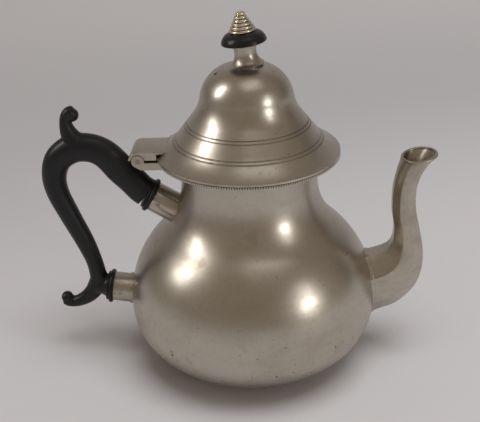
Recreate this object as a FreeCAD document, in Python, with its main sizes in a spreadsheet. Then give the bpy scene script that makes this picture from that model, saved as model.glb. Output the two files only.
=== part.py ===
"""Pewter teapot with a hinged bell lid, a faceted spout and a carved black handle.

Frame: origin at the centre of the base on the table, +Z up, +X towards the spout,
the handle and the lid hinge on the -X side.  All lengths are in millimetres.
"""
import FreeCAD, Part
import math
import os

import Sketcher
from FreeCAD import Vector

SIZES = {
    # pot
    "wall": 1.5,
    "base_radius": 34.5,
    "foot_height": 3.5,
    "belly_radius": 65.0,
    "belly_height": 37.0,
    "neck_radius": 34.8,
    "neck_height": 104.0,
    "neck_curve": 35.5,
    "seat_height": 118.5,
    "base_thickness": 1.6,
    "base_recess": 0.8,
    # milled flange that the lid rests on
    "rim_radius": 46.3,
    "rim_thickness": 1.6,
    # strainer behind the spout
    "strainer_hole_radius": 1.7,
    "strainer_pitch": 5.6,
    # spout
    "spout_wall": 1.2,
    "spout_root_height": 42.5,
    "spout_mouth_drop": 4.4,
    "spout_overhang": 20.9,
    "spout_root_depth": 32.6,
    "spout_root_width": 26.0,
    "spout_stem_depth": 11.8,
    "spout_stem_width": 12.8,
    "spout_mouth_depth": 18.2,
    "spout_mouth_width": 20.0,
    "lip_wire": 1.7,
    "root_band_width": 1.7,
    "root_band_proud": 0.45,
    # lid
    "lid_gap": 0.15,
    "lid_wall": 1.3,
    "lid_lip": 0.9,
    "lid_brim_width": 11.2,
    "lid_shoulder_height": 10.0,
    "lid_cone_angle": 37.7,
    "lid_waist_curve": 22.0,
    "dome_curve": 18.4,
    "dome_inset": 41.3,
    "dome_height": 26.7,
    "line_depth": 0.4,
    "lower_line_height": 7.1,
    "upper_line_height": 14.9,
    "line_spacing": 1.7,
    "vent_radius": 0.9,
    "vent_share": 0.56,
    "vent_azimuth": 20.0,
    "bezel_depth": 5.0,
    "bezel_wall": 1.2,
    "bezel_clearance": 0.5,
    # finial
    "finial_lean": 6.0,
    "finial_shift": 0.6,
    "finial_sink": 1.0,
    "finial_neck_foot": 1.1,
    "finial_waist_share": 0.62,
    "finial_neck_height": 10.8,
    "finial_neck_base": 8.6,
    "finial_neck_waist": 5.4,
    "finial_neck_top": 5.9,
    "disc_radius": 11.2,
    "disc_height": 6.0,
    "disc_edge_rise": 1.1,
    "disc_bulge": 1.2,
    "disc_overlap": 0.4,
    "nut_radius": 6.6,
    "nut_tip_radius": 2.3,
    "nut_height": 9.4,
    "stud_radius": 1.6,
    "stud_clearance": 0.4,
    "thread_share": 0.7,
    "stud_head_radius": 4.0,
    "stud_head_height": 1.2,
    # lid hinge
    "hinge_standoff": 8.7,
    "hinge_drop": 0.9,
    "hinge_width": 21.0,
    "barrel_radius": 3.3,
    "pin_radius": 1.1,
    "pin_clearance": 0.05,
    "hinge_clearance": 0.3,
    "centre_knuckle": 9.0,
    "leaf_wrap_radius": 4.8,
    "leaf_slot": 0.6,
    "leaf_plate": 1.2,
    "lower_leaf_drop": 4.6,
    "lower_leaf_toe": 1.3,
    "lower_leaf_angle": 236.0,
    "lower_leaf_tuck": 6.0,
    "leaf_lap": 0.8,
    "leaf_plate_lap": 9.0,
    # handle
    "socket_radius": 7.8,
    "socket_wall": 1.0,
    "socket_fit": 0.05,
    "socket_pin_radius": 0.9,
    "collar_radius": 9.1,
    "collar_thickness": 3.4,
    "tenon_length": 8.0,
    "upper_socket_standoff": 15.3,
    "upper_socket_height": 94.3,
    "upper_socket_slope": 31.5,
    "lower_socket_standoff": 10.2,
    "lower_socket_height": 40.9,
    "lower_socket_slope": 8.0,
    "lower_band_width": 2.0,
    "lower_band_proud": 0.5,
    "grip_depth": 15.0,
    "grip_width": 13.0,
    "grip_inset": 4.3,
    "grip_crown_height": 129.5,
    "back_thickness": 9.6,
}

doc = FreeCAD.newDocument("teapot")
sheet = doc.addObject("Spreadsheet::Sheet", "Sizes")
for row, (alias, number) in enumerate(SIZES.items(), start=1):
    sheet.set("A%d" % row, alias)
    sheet.set("B%d" % row, str(number))
    sheet.setAlias("B%d" % row, alias)
doc.recompute()

NODES = {}


def size(alias):
    """Number held by the sheet for one named size."""
    return float(sheet.get(alias))


def bind(thing, field, formula):
    """Tie a property to a formula written with the sheet's aliases."""
    thing.setExpression(field, formula)


def keep(node, thing):
    """Name a finished sub-part and list it for export."""
    thing.Label = node
    NODES[node] = thing
    return thing


# ---------------------------------------------------------------- sketch helpers

def new_body(node):
    return doc.addObject("PartDesign::Body", "Body_" + node)


def new_sketch(body, name, role, height=None):
    """Sketch on one of the body's own origin planes, optionally raised off it."""
    sketch = body.newObject("Sketcher::SketchObject", name)
    plane = [part for part in body.Origin.OriginFeatures if part.Role == role][0]
    sketch.AttachmentSupport = [(plane, "")]
    sketch.MapMode = "FlatFace"
    if height:
        bind(sketch, "AttachmentOffset.Base.z", height)
    return sketch


class Outline:
    """Closed sketch outline drawn point by point, with lines and arcs."""

    def __init__(self, sketch, start):
        self.sketch = sketch
        self.here = Vector(start[0], start[1], 0)
        self.ends = []

    def line(self, end):
        """Straight side to a point; returns the side's index."""
        goal = Vector(end[0], end[1], 0)
        index = self.sketch.addGeometry(Part.LineSegment(self.here, goal), False)
        self._join(index, 1, 2)
        self.here = goal
        return index

    def arc(self, centre, end, turn_left):
        """Round side about a centre; arcs always store their ends anticlockwise."""
        goal = Vector(end[0], end[1], 0)
        middle = Vector(centre[0], centre[1], 0)
        first, last = (self.here, goal) if turn_left else (goal, self.here)
        circle = Part.Circle(middle, Vector(0, 0, 1), (self.here - middle).Length)
        angle_first = math.atan2(first.y - middle.y, first.x - middle.x)
        angle_last = math.atan2(last.y - middle.y, last.x - middle.x)
        shape = Part.ArcOfCircle(circle, angle_first, angle_last)
        index = self.sketch.addGeometry(shape, False)
        if turn_left:
            self._join(index, 1, 2)
        else:
            self._join(index, 2, 1)
        self.here = goal
        return index

    def _join(self, index, tail, head):
        if self.ends:
            before, _, before_head = self.ends[-1]
            self._coincide(before, before_head, index, tail)
        self.ends.append((index, tail, head))

    def _coincide(self, one, one_end, other, other_end):
        rule = Sketcher.Constraint("Coincident", one, one_end, other, other_end)
        self.sketch.addConstraint(rule)

    def close(self):
        """Join the last side to the first."""
        first, tail, _ = self.ends[0]
        last, _, head = self.ends[-1]
        self._coincide(last, head, first, tail)

    def head(self, side):
        """Where a side ends, as a sketch point."""
        index, _, head = self.ends[side]
        return index, head

    def place(self, side, across=None, up=None):
        """Fix the point where a side ends; a missing formula puts it on that axis."""
        index, head = self.head(side)
        for kind, formula, axis in (("DistanceX", across, -2), ("DistanceY", up, -1)):
            if formula is None:
                rule = Sketcher.Constraint("PointOnObject", index, head, axis)
                self.sketch.addConstraint(rule)
            elif formula:
                measure(self.sketch, kind, (index, head), formula)

    def level(self, side):
        self.sketch.addConstraint(Sketcher.Constraint("Horizontal", self.ends[side][0]))

    def plumb(self, side):
        self.sketch.addConstraint(Sketcher.Constraint("Vertical", self.ends[side][0]))

    def smooth(self, side):
        """Make a side run smoothly into the next one."""
        one, _, one_head = self.ends[side]
        other, other_tail, _ = self.ends[side + 1]
        for number, rule in enumerate(self.sketch.Constraints):
            ends = (rule.First, rule.FirstPos, rule.Second, rule.SecondPos)
            if rule.Type == "Coincident" and ends == (one, one_head, other, other_tail):
                self.sketch.delConstraint(number)
                break
        rule = Sketcher.Constraint("Tangent", one, one_head, other, other_tail)
        self.sketch.addConstraint(rule)

    def radius(self, side, formula):
        measure(self.sketch, "Radius", (self.ends[side][0],), formula)

    def centre(self, side, across=None, up=None):
        index = self.ends[side][0]
        if across:
            measure(self.sketch, "DistanceX", (index, 3), across)
        if up:
            measure(self.sketch, "DistanceY", (index, 3), up)


def measure(sketch, kind, where, formula):
    """Add a dimension at its drawn value, then bind it to the sheet."""
    drawn = drawn_value(sketch, kind, where)
    number = sketch.addConstraint(Sketcher.Constraint(kind, *where, drawn))
    bind(sketch, "Constraints[%d]" % number, formula)


def drawn_value(sketch, kind, where):
    if kind == "Radius":
        return sketch.Geometry[where[0]].Radius
    point = sketch.getPoint(*where)
    return point.x if kind == "DistanceX" else point.y


def circle(sketch, across, up, radius, at=(0.0, 0.0)):
    """Circle whose centre and radius are formulas; an empty one sits on the axis."""
    index = sketch.addGeometry(Part.Circle(Vector(at[0], at[1], 0), Vector(0, 0, 1), 1.0), False)
    for kind, formula, axis in (("DistanceX", across, -2), ("DistanceY", up, -1)):
        if formula:
            measure(sketch, kind, (index, 3), formula)
        else:
            sketch.addConstraint(Sketcher.Constraint("PointOnObject", index, 3, axis))
    measure(sketch, "Radius", (index,), radius)
    return index


def revolve(body, sketch, name):
    """Full turn of a sketch about its own upright axis."""
    turned = body.newObject("PartDesign::Revolution", name)
    turned.Profile = sketch
    turned.ReferenceAxis = (sketch, ["V_Axis"])
    turned.Angle = 360.0
    body.Tip = turned
    doc.recompute()
    return turned


def pad(body, sketch, name, length):
    """Pad a sketch the same distance to both sides."""
    block = body.newObject("PartDesign::Pad", name)
    block.Profile = sketch
    bind(block, "Length", length)
    block.Midplane = True
    body.Tip = block
    doc.recompute()
    return block


def cut_through(body, sketch, name, length=None, both=True, reverse=False):
    """Pocket a sketch; with no length it goes through everything."""
    before = body.Shape.Volume
    hole = body.newObject("PartDesign::Pocket", name)
    hole.Profile = sketch
    if length:
        bind(hole, "Length", length)
    else:
        hole.Type = "ThroughAll"
    hole.Midplane = both
    hole.Reversed = reverse
    body.Tip = hole
    doc.recompute()
    if hole.Shape.Volume >= before:
        raise RuntimeError(name + " cut nothing")
    return hole


def shell(body, solid, name, thickness, flat_heights):
    """Hollow a turned solid inwards, leaving the named flat faces open."""
    faces = []
    for number, face in enumerate(solid.Shape.Faces, start=1):
        box = face.BoundBox
        for height in flat_heights:
            if box.ZLength < 1e-6 and abs(box.ZMin - height) < 1e-6:
                faces.append("Face%d" % number)
    hollow = body.newObject("PartDesign::Thickness", name)
    hollow.Base = (solid, faces)
    bind(hollow, "Value", thickness)
    hollow.Reversed = True
    hollow.Join = 0
    body.Tip = hollow
    doc.recompute()
    if hollow.Shape.Volume >= solid.Shape.Volume:
        raise RuntimeError(name + " hollowed nothing")
    return hollow


# ---------------------------------------------------------------- pot

def make_pot():
    """Pear-shaped pot: straight foot, round belly, hollow-curved shoulder, plain neck."""
    base, belly, neck = size("base_radius"), size("belly_radius"), size("neck_radius")
    belly_z, neck_z = size("belly_height"), size("neck_height")
    low_curve = belly_z - size("foot_height")
    low_centre = (belly - low_curve, belly_z)
    foot_top = belly_z - math.sqrt(low_curve ** 2 - (base - low_centre[0]) ** 2)
    inset, rise = belly - neck, neck_z - belly_z
    both_curves = (inset ** 2 + rise ** 2) / (2 * inset)
    high_curve = both_curves - size("neck_curve")
    high_centre = (belly - high_curve, belly_z)
    neck_centre = (neck + size("neck_curve"), neck_z)
    share = high_curve / both_curves
    bend = (high_centre[0] + share * (neck_centre[0] - high_centre[0]), belly_z + share * rise)
    top = size("seat_height") - size("rim_thickness")

    body = new_body("pot")
    sketch = new_sketch(body, "PotOutline", "XZ_Plane")
    line = Outline(sketch, (0, 0))
    line.line((base, 0))
    line.line((base, foot_top))
    line.arc(low_centre, (belly, belly_z), True)
    line.arc(high_centre, bend, True)
    line.arc(neck_centre, (neck, neck_z), False)
    line.line((neck, top))
    line.line((0, top))
    line.line((0, 0))
    line.close()
    line.place(7)
    line.place(0, "Sizes.base_radius")
    line.plumb(1)
    line.centre(2, None, "Sizes.belly_height")
    line.radius(2, "Sizes.belly_height - Sizes.foot_height")
    line.place(2, "Sizes.belly_radius", "Sizes.belly_height")
    line.centre(3, None, "Sizes.belly_height")
    line.smooth(3)
    line.radius(4, "Sizes.neck_curve")
    line.centre(4, None, "Sizes.neck_height")
    line.place(4, "Sizes.neck_radius", "Sizes.neck_height")
    line.plumb(5)
    line.place(5, "", "Sizes.seat_height - Sizes.rim_thickness")
    line.level(6)
    line.place(6, None, "")
    doc.recompute()
    solid = revolve(body, sketch, "PotSolid")
    shell(body, solid, "PotWall", "Sizes.wall", (0.0, top))
    add_strainer(body)
    split_pot(body)
    return solid


def split_pot(body):
    """The pot is two spun halves, a bowl and a shoulder, soldered at the widest line."""
    for node, foot, height in (
        ("pot_bowl", "Sizes.belly_height", "Sizes.seat_height"),
        ("pot_shoulder", "0", "Sizes.belly_height"),
    ):
        other = doc.addObject("Part::Cylinder", "Beyond_" + node)
        bind(other, "Radius", "2 * Sizes.belly_radius")
        bind(other, "Placement.Base.z", foot)
        bind(other, "Height", height)
        keep(node, trimmed("Half_" + node, body, other))


def add_strainer(body):
    """Round holes through the wall behind the spout: one, six and twelve."""
    for ring, count in enumerate((1, 6, 12)):
        sketch = new_sketch(body, "StrainerRing%d" % ring, "YZ_Plane")
        bind(sketch, "AttachmentOffset.Base.y", "Sizes.spout_root_height")
        across = "%d * Sizes.strainer_pitch" % ring if ring else ""
        circle(sketch, across, "", "Sizes.strainer_hole_radius", (ring * size("strainer_pitch"), 0))
        doc.recompute()
        hole = cut_through(body, sketch, "StrainerHole%d" % ring, None, False, True)
        if count > 1:
            pattern = body.newObject("PartDesign::PolarPattern", "StrainerPattern%d" % ring)
            pattern.Originals = [hole]
            pattern.Axis = (sketch, ["N_Axis"])
            pattern.Angle = 360
            pattern.Occurrences = count
            body.Tip = pattern
            doc.recompute()


def make_base_plate():
    """Flat disc let into the foot."""
    disc = doc.addObject("Part::Cylinder", "BaseDisc")
    bind(disc, "Radius", "Sizes.base_radius - Sizes.wall")
    bind(disc, "Height", "Sizes.base_thickness")
    bind(disc, "Placement.Base.z", "Sizes.base_recess")
    keep("base_plate", disc)


def make_rim_ring():
    """Flat flange on the neck, whose edge carries the milling."""
    body = new_body("rim_ring")
    sketch = new_sketch(body, "RimOutline", "XY_Plane", "Sizes.seat_height - Sizes.rim_thickness / 2")
    circle(sketch, "", "", "Sizes.rim_radius")
    circle(sketch, "", "", "Sizes.neck_radius - Sizes.wall")
    doc.recompute()
    pad(body, sketch, "RimFlange", "Sizes.rim_thickness")
    keep("rim_ring", body)


# ---------------------------------------------------------------- spout

def spout_sections():
    """Places along the spout: centre, lean from level, half depth, half width, roundness.

    The tube leaves the belly almost level, turns up, narrows to the stem and opens
    into a round mouth that leans outwards.
    """
    root = Vector(size("belly_radius") - 2.2, 0, size("spout_root_height"))
    mouth = Vector(
        size("belly_radius") + size("spout_overhang"), 0,
        size("seat_height") - size("spout_mouth_drop"),
    )
    run = mouth - root
    root_half = (size("spout_root_depth") / 2, size("spout_root_width") / 2)
    stem_half = (size("spout_stem_depth") / 2, size("spout_stem_width") / 2)
    mouth_half = (size("spout_mouth_depth") / 2, size("spout_mouth_width") / 2)
    # along and up are shares of the run from root to mouth, lean is in degrees,
    # and the last three say how much of root, stem and mouth each section is
    plan = (
        (-0.55, -0.055, 10, 1.12, 0.00, 0.00, 0.0),
        (0.00, 0.003, 11, 1.00, 0.00, 0.00, 0.0),
        (0.42, 0.053, 18, 0.94, 0.03, 0.00, 0.0),
        (0.72, 0.147, 37, 0.67, 0.33, 0.00, 0.0),
        (0.83, 0.286, 66, 0.30, 0.70, 0.00, 0.0),
        (0.80, 0.440, 83, 0.08, 0.92, 0.00, 0.0),
        (0.72, 0.586, 92, 0.02, 0.98, 0.00, 0.0),
        (0.71, 0.734, 90, 0.00, 1.00, 0.00, 0.05),
        (0.78, 0.855, 86, 0.00, 0.92, 0.08, 0.35),
        (0.885, 0.938, 90, 0.00, 0.57, 0.43, 0.75),
        (1.00, 1.000, 98, 0.00, 0.00, 1.00, 1.0),
    )
    sections = []
    for along, up, lean, of_root, of_stem, of_mouth, roundness in plan:
        centre = root + Vector(along * run.x, 0, up * run.z)
        halves = [
            of_root * root_half[k] + of_stem * stem_half[k] + of_mouth * mouth_half[k]
            for k in (0, 1)
        ]
        sections.append((centre, math.radians(lean), halves[0], halves[1], roundness))
    return sections


def facet_wire(centre, lean, half_depth, half_width, roundness):
    """Eight-sided section whose sides swell until it is an oval."""
    out = Vector(-math.sin(lean), 0, math.cos(lean))
    flat = 0.03
    swell = flat + (1 - flat) * roundness
    corner_reach = (1 - swell) / math.cos(math.pi / 8) + swell
    edges = []
    for side in range(8):
        points = []
        for half_step in (-1, 0, 1):
            angle = math.radians(45 * side + 22.5 * half_step)
            reach = corner_reach if half_step else 1.0
            depth = out * (half_depth * reach * math.cos(angle))
            width = Vector(0, half_width * reach * math.sin(angle), 0)
            points.append(centre + depth + width)
        edges.append(Part.Arc(*points).toShape())
    return Part.Wire(edges)


def spout_loft(grow):
    """Solid spout, with every section grown by the same amount."""
    wires = []
    for centre, lean, depth, width, roundness in spout_sections():
        wires.append(facet_wire(centre, lean, depth + grow, width + grow, roundness))
    return Part.makeLoft(wires, True, False)


def past_mouth():
    """Short plug that carries the spout's channel out through its mouth."""
    centre, lean, depth, width, roundness = spout_sections()[-1]
    axis = Vector(math.cos(lean), 0, math.sin(lean))
    wires = []
    for step in (-0.6, 3.0):
        place = centre + axis * step
        wires.append(facet_wire(place, lean, depth - size("spout_wall"), width - size("spout_wall"), 1.0))
    return Part.makeLoft(wires, True, False)


def make_spout(pot_form):
    """Faceted tube soldered on the belly, with a band at its root and a wired lip."""
    outer = spout_loft(0.0)
    channel = spout_loft(-size("spout_wall")).fuse(past_mouth())
    lip = make_lip()
    tube = outer.cut(channel).cut(pot_form)
    feature("spout_tube", main_solid(tube.cut(lip)))
    feature("spout_lip", lip)

    band = spout_loft(size("root_band_proud")).cut(outer)
    reach = grown_pot(pot_form, size("root_band_width"))
    feature("spout_root_band", main_solid(band.common(reach).cut(pot_form)))


def grown_pot(pot_form, amount):
    """The pot's solid, stretched sideways by an amount at the belly."""
    scale = 1 + amount / size("belly_radius")
    matrix = FreeCAD.Matrix()
    matrix.scale(scale, scale, 1.0)
    return pot_form.transformGeometry(matrix)


def make_lip():
    """Round wire that follows the edge of the mouth."""
    centre, lean, depth, width, _ = spout_sections()[-1]
    out = Vector(-math.sin(lean), 0, math.cos(lean))
    wire_radius = size("lip_wire") / 2
    inset = size("spout_wall") / 2
    long_half, short_half = width - inset, depth - inset
    loop = Part.Ellipse(centre + Vector(0, long_half, 0), centre + out * short_half, centre)
    path = Part.Wire([loop.toShape()])
    start = path.Edges[0].valueAt(path.Edges[0].FirstParameter)
    along = path.Edges[0].tangentAt(path.Edges[0].FirstParameter)
    ring = Part.Wire([Part.Circle(start, along, wire_radius).toShape()])
    return path.makePipeShell([ring], True, False)


def feature(node, shape):
    """Sub-part whose shape is worked out from lofts or joined rods."""
    thing = doc.addObject("Part::Feature", "Shape_" + node)
    thing.Shape = shape
    return keep(node, thing)


def main_solid(shape):
    """The one large solid of a cut, without slivers."""
    return max(shape.Solids, key=lambda solid: solid.Volume)


# ---------------------------------------------------------------- lid

DOME_OFFSET = "(Sizes.rim_radius - Sizes.dome_inset)"


def lid_curves():
    """Centres and joints of the bell's outline, measured up from the seat."""
    angle = math.radians(size("lid_cone_angle"))
    slope = Vector(-math.sin(angle), math.cos(angle), 0)
    outward = Vector(math.cos(angle), math.sin(angle), 0)
    lip = Vector(size("rim_radius"), size("lid_lip"), 0)
    shoulder = Vector(size("rim_radius") - size("lid_brim_width"), size("lid_shoulder_height"), 0)
    chord = lip - shoulder
    brim_curve = chord.Length ** 2 / (2 * chord.dot(outward))
    brim_centre = shoulder + outward * brim_curve
    dome_centre = Vector(dome_offset(), size("dome_height"), 0)
    waist, dome = size("lid_waist_curve"), size("dome_curve")
    # the waist arc touches the cone's line and the dome's circle from outside
    start = shoulder + outward * waist - dome_centre
    half = start.dot(slope)
    cone_run = -half - math.sqrt(half ** 2 - start.Length ** 2 + (waist + dome) ** 2)
    waist_centre = shoulder + outward * waist + slope * cone_run
    cone_top = shoulder + slope * cone_run
    meeting = dome_centre + (waist_centre - dome_centre) * (dome / (waist + dome))
    return lip, shoulder, brim_centre, cone_top, waist_centre, meeting, dome_centre


def dome_offset():
    """Radius at which the dome's curve is centred; it follows the rim."""
    return size("rim_radius") - size("dome_inset")


def lid_base():
    """Height of the lid's edge above the table."""
    return size("seat_height") + size("lid_gap")


def lid_top():
    return lid_base() + size("dome_height") + size("dome_curve")


def make_lid():
    """Bell lid: upright lip, hollow brim, straight cone, hollow waist and round dome."""
    lip, shoulder, brim_centre, cone_top, waist_centre, meeting, dome_centre = lid_curves()
    base = lid_base()
    top = size("dome_height") + size("dome_curve")

    def up(point):
        return (point.x, point.y + base)

    body = new_body("lid")
    sketch = new_sketch(body, "LidOutline", "XZ_Plane")
    line = Outline(sketch, (0, base))
    line.line((lip.x, base))
    line.line(up(lip))
    line.arc(up(brim_centre), up(shoulder), False)
    line.line(up(cone_top))
    line.arc(up(waist_centre), up(meeting), False)
    line.arc(up(dome_centre), (dome_centre.x, base + top), True)
    line.line((0, base + top))
    line.line((0, base))
    line.close()
    seat = "Sizes.seat_height + Sizes.lid_gap"
    line.place(7, None, seat)
    line.place(6, None, "")
    line.level(0)
    line.plumb(1)
    line.place(1, "Sizes.rim_radius", seat + " + Sizes.lid_lip")
    line.smooth(2)
    line.place(2, "Sizes.rim_radius - Sizes.lid_brim_width", seat + " + Sizes.lid_shoulder_height")
    lean(sketch, line.ends[3][0], "90 + Sizes.lid_cone_angle")
    line.smooth(3)
    line.radius(4, "Sizes.lid_waist_curve")
    line.smooth(4)
    line.radius(5, "Sizes.dome_curve")
    line.centre(5, DOME_OFFSET, seat + " + Sizes.dome_height")
    line.smooth(5)
    doc.recompute()
    solid = revolve(body, sketch, "LidSolid")
    shell(body, solid, "LidWall", "Sizes.lid_wall", (base,))
    add_lines(body)
    add_lid_holes(body)
    return keep("lid_shell", body), solid


def lean(sketch, side, formula):
    """Fix a side's direction, in degrees from the sketch's X axis."""
    segment = sketch.Geometry[side]
    run = segment.EndPoint - segment.StartPoint
    drawn = math.atan2(run.y, run.x)
    number = sketch.addConstraint(Sketcher.Constraint("Angle", side, drawn))
    bind(sketch, "Constraints[%d]" % number, formula)


def add_lines(body):
    """Two pairs of fine turned lines round the cone."""
    angle = math.radians(size("lid_cone_angle"))
    _, shoulder, brim_centre = lid_curves()[:3]
    for name in ("lower_line_height", "upper_line_height"):
        for step in (0, 1):
            rise = size(name) + step * size("line_spacing") * math.cos(angle)
            if rise > shoulder.y:
                radius = shoulder.x - (rise - shoulder.y) * math.tan(angle)
            else:
                brim_curve = (brim_centre - shoulder).Length
                radius = brim_centre.x - math.sqrt(brim_curve ** 2 - (rise - brim_centre.y) ** 2)
            height = "Sizes.seat_height + Sizes.lid_gap + Sizes.%s" % name
            height += " + %d * Sizes.line_spacing * cos(Sizes.lid_cone_angle * 1deg)" % step
            cut_line(body, name, step, radius, rise + lid_base(), height)


def cut_line(body, name, step, radius, drawn_height, height):
    """One turned line, a shallow round groove centred on the surface."""
    sketch = new_sketch(body, "Sketch_%s_%d" % (name, step), "XZ_Plane")
    ring = circle(sketch, "", height, "Sizes.line_depth", (0, drawn_height))
    for number, rule in enumerate(sketch.Constraints):
        if rule.Type == "PointOnObject":
            sketch.delConstraint(number)
            break
    sketch.addConstraint(Sketcher.Constraint("DistanceX", ring, 3, radius))
    doc.recompute()
    before = body.Shape.Volume
    groove = body.newObject("PartDesign::Groove", "Line_%s_%d" % (name, step))
    groove.Profile = sketch
    groove.ReferenceAxis = (sketch, ["V_Axis"])
    groove.Angle = 360.0
    body.Tip = groove
    doc.recompute()
    if groove.Shape.Volume >= before:
        raise RuntimeError(name + " cut nothing")


def add_lid_holes(body):
    """Hole for the finial's stud at the top, and the steam vent beside it."""
    sketch = new_sketch(body, "StudHole", "XY_Plane", "Sizes.seat_height + Sizes.dome_height")
    circle(sketch, "", "", "Sizes.stud_radius + Sizes.stud_clearance")
    doc.recompute()
    cut_through(body, sketch, "StudHoleCut", None, False, True)
    sketch = new_sketch(body, "Vent", "XY_Plane", "Sizes.seat_height + Sizes.dome_height")
    reach = dome_offset() + size("dome_curve") * size("vent_share")
    azimuth = math.radians(size("vent_azimuth"))
    place = (-reach * math.cos(azimuth), -reach * math.sin(azimuth))
    formula = "-(" + DOME_OFFSET + " + Sizes.dome_curve * Sizes.vent_share) * %s(Sizes.vent_azimuth * 1deg)"
    circle(sketch, formula % "cos", formula % "sin", "Sizes.vent_radius", place)
    doc.recompute()
    cut_through(body, sketch, "VentCut", None, False, True)


def make_bezel(lid):
    """Ring that drops into the neck, with a flange soldered inside the lid's brim."""
    body = new_body("bezel")
    outer = "Sizes.neck_radius - Sizes.wall - Sizes.bezel_clearance"
    seat = "Sizes.seat_height + Sizes.lid_gap"
    sketch = new_sketch(body, "BezelRing", "XY_Plane", seat + " - Sizes.bezel_depth / 2 + Sizes.bezel_wall / 2")
    circle(sketch, "", "", outer)
    circle(sketch, "", "", outer + " - Sizes.bezel_wall")
    doc.recompute()
    pad(body, sketch, "BezelSkirt", "Sizes.bezel_depth + Sizes.bezel_wall")
    sketch = new_sketch(body, "BezelFlange", "XY_Plane", seat + " + Sizes.bezel_wall / 2")
    circle(sketch, "", "", "Sizes.rim_radius - Sizes.lid_wall / 2")
    circle(sketch, "", "", outer + " - Sizes.bezel_wall")
    doc.recompute()
    pad(body, sketch, "BezelPlate", "Sizes.bezel_wall")
    keep("lid_bezel", trimmed("BezelTrim", body, lid))


def trimmed(name, base, tool):
    """One piece cut to lie against another."""
    cut = doc.addObject("Part::Cut", name)
    cut.Base = base
    cut.Tool = tool
    doc.recompute()
    return cut


# ---------------------------------------------------------------- finial

def on_finial(height):
    """Placement on the leaning finial's axis, at a height above the dome's top."""
    turn = FreeCAD.Rotation(Vector(0, 1, 0), -size("finial_lean"))
    foot = Vector(size("finial_shift"), 0, lid_top())
    return FreeCAD.Placement(foot + turn.multVec(Vector(0, 0, height)), turn)


def make_finial(lid, lid_form):
    """Pewter neck, black heat-proof disc and stepped nut, all threaded on one stud."""
    neck_foot = -size("finial_sink")
    neck = new_body("finial_neck")
    sketch = new_sketch(neck, "FinialNeckOutline", "XZ_Plane")
    base, waist, top = size("finial_neck_base"), size("finial_neck_waist"), size("finial_neck_top")
    height = size("finial_neck_height")
    waist_up = size("finial_waist_share") * height
    rise = size("finial_neck_foot")
    line = Outline(sketch, (0, 0))
    line.line((base, 0))
    line.line((base, rise))
    low = arc_centre((base, rise), (waist, waist_up))
    line.arc(low, (waist, waist_up), False)
    high = arc_centre((top, height), (waist, waist_up))
    line.arc(high, (top, height), False)
    line.line((0, height))
    line.line((0, 0))
    line.close()
    line.place(5)
    line.level(0)
    line.plumb(1)
    line.place(1, "Sizes.finial_neck_base", "Sizes.finial_neck_foot")
    line.place(2, "Sizes.finial_neck_waist", "Sizes.finial_waist_share * Sizes.finial_neck_height")
    line.centre(2, None, "Sizes.finial_waist_share * Sizes.finial_neck_height")
    line.centre(3, None, "Sizes.finial_waist_share * Sizes.finial_neck_height")
    line.place(3, "Sizes.finial_neck_top", "Sizes.finial_neck_height")
    line.level(4)
    line.place(4, None, "")
    doc.recompute()
    revolve(neck, sketch, "FinialNeckSolid")
    bore(neck, "FinialNeckBore", "Sizes.stud_radius")
    neck.Placement = on_finial(neck_foot)
    keep("finial_neck", trimmed("FinialNeckTrim", neck, lid_form))

    disc_foot = neck_foot + height
    disc = new_body("finial_disc")
    sketch = new_sketch(disc, "DiscOutline", "XZ_Plane")
    edge = (size("disc_radius"), size("disc_edge_rise"))
    crown = (size("nut_radius") - size("disc_overlap"), size("disc_height"))
    middle = bulge_centre(edge, crown, size("disc_bulge"))
    line = Outline(sketch, (0, 0))
    line.line((top + size("disc_overlap"), 0))
    line.line(edge)
    line.arc(middle, crown, True)
    line.line((0, crown[1]))
    line.line((0, 0))
    line.close()
    line.place(4)
    line.place(0, "Sizes.finial_neck_top + Sizes.disc_overlap", None)
    line.place(1, "Sizes.disc_radius", "Sizes.disc_edge_rise")
    line.place(2, "Sizes.nut_radius - Sizes.disc_overlap", "Sizes.disc_height")
    across = "(Sizes.disc_radius - Sizes.nut_radius + Sizes.disc_overlap)"
    up = "(Sizes.disc_height - Sizes.disc_edge_rise)"
    chord = "(%s * %s + %s * %s)" % (across, across, up, up)
    swell = "Sizes.disc_bulge"
    line.radius(2, "(%s / 4 + %s * %s) / (2 * %s)" % (chord, swell, swell, swell))
    line.level(3)
    line.place(3, None, "")
    doc.recompute()
    revolve(disc, sketch, "DiscSolid")
    bore(disc, "DiscBore", "Sizes.stud_radius")
    disc.Placement = on_finial(disc_foot)
    keep("finial_disc", disc)

    nut_foot = disc_foot + size("disc_height")
    make_finial_nut(nut_foot)
    make_finial_stud(lid)


def arc_centre(end, waist):
    """Centre, level with the waist, of the arc from the waist to another point."""
    across, up = end[0] - waist[0], end[1] - waist[1]
    radius = (across ** 2 + up ** 2) / (2 * across)
    return (waist[0] + radius, waist[1])


def bulge_centre(start, end, bulge):
    """Centre of an arc that swells out from its chord by a given amount."""
    first, last = Vector(*start, 0), Vector(*end, 0)
    chord = last - first
    radius = (chord.Length ** 2 / 4 + bulge ** 2) / (2 * bulge)
    inward = Vector(-chord.y, chord.x, 0).normalize()
    middle = (first + last) * 0.5 + inward * (radius - bulge)
    return (middle.x, middle.y)


def bore(body, name, radius):
    """Plain hole up a turned piece's axis."""
    sketch = new_sketch(body, name, "XY_Plane")
    circle(sketch, "", "", radius)
    doc.recompute()
    cut_through(body, sketch, name + "Cut", None, False, True)


RINGS = 6


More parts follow.
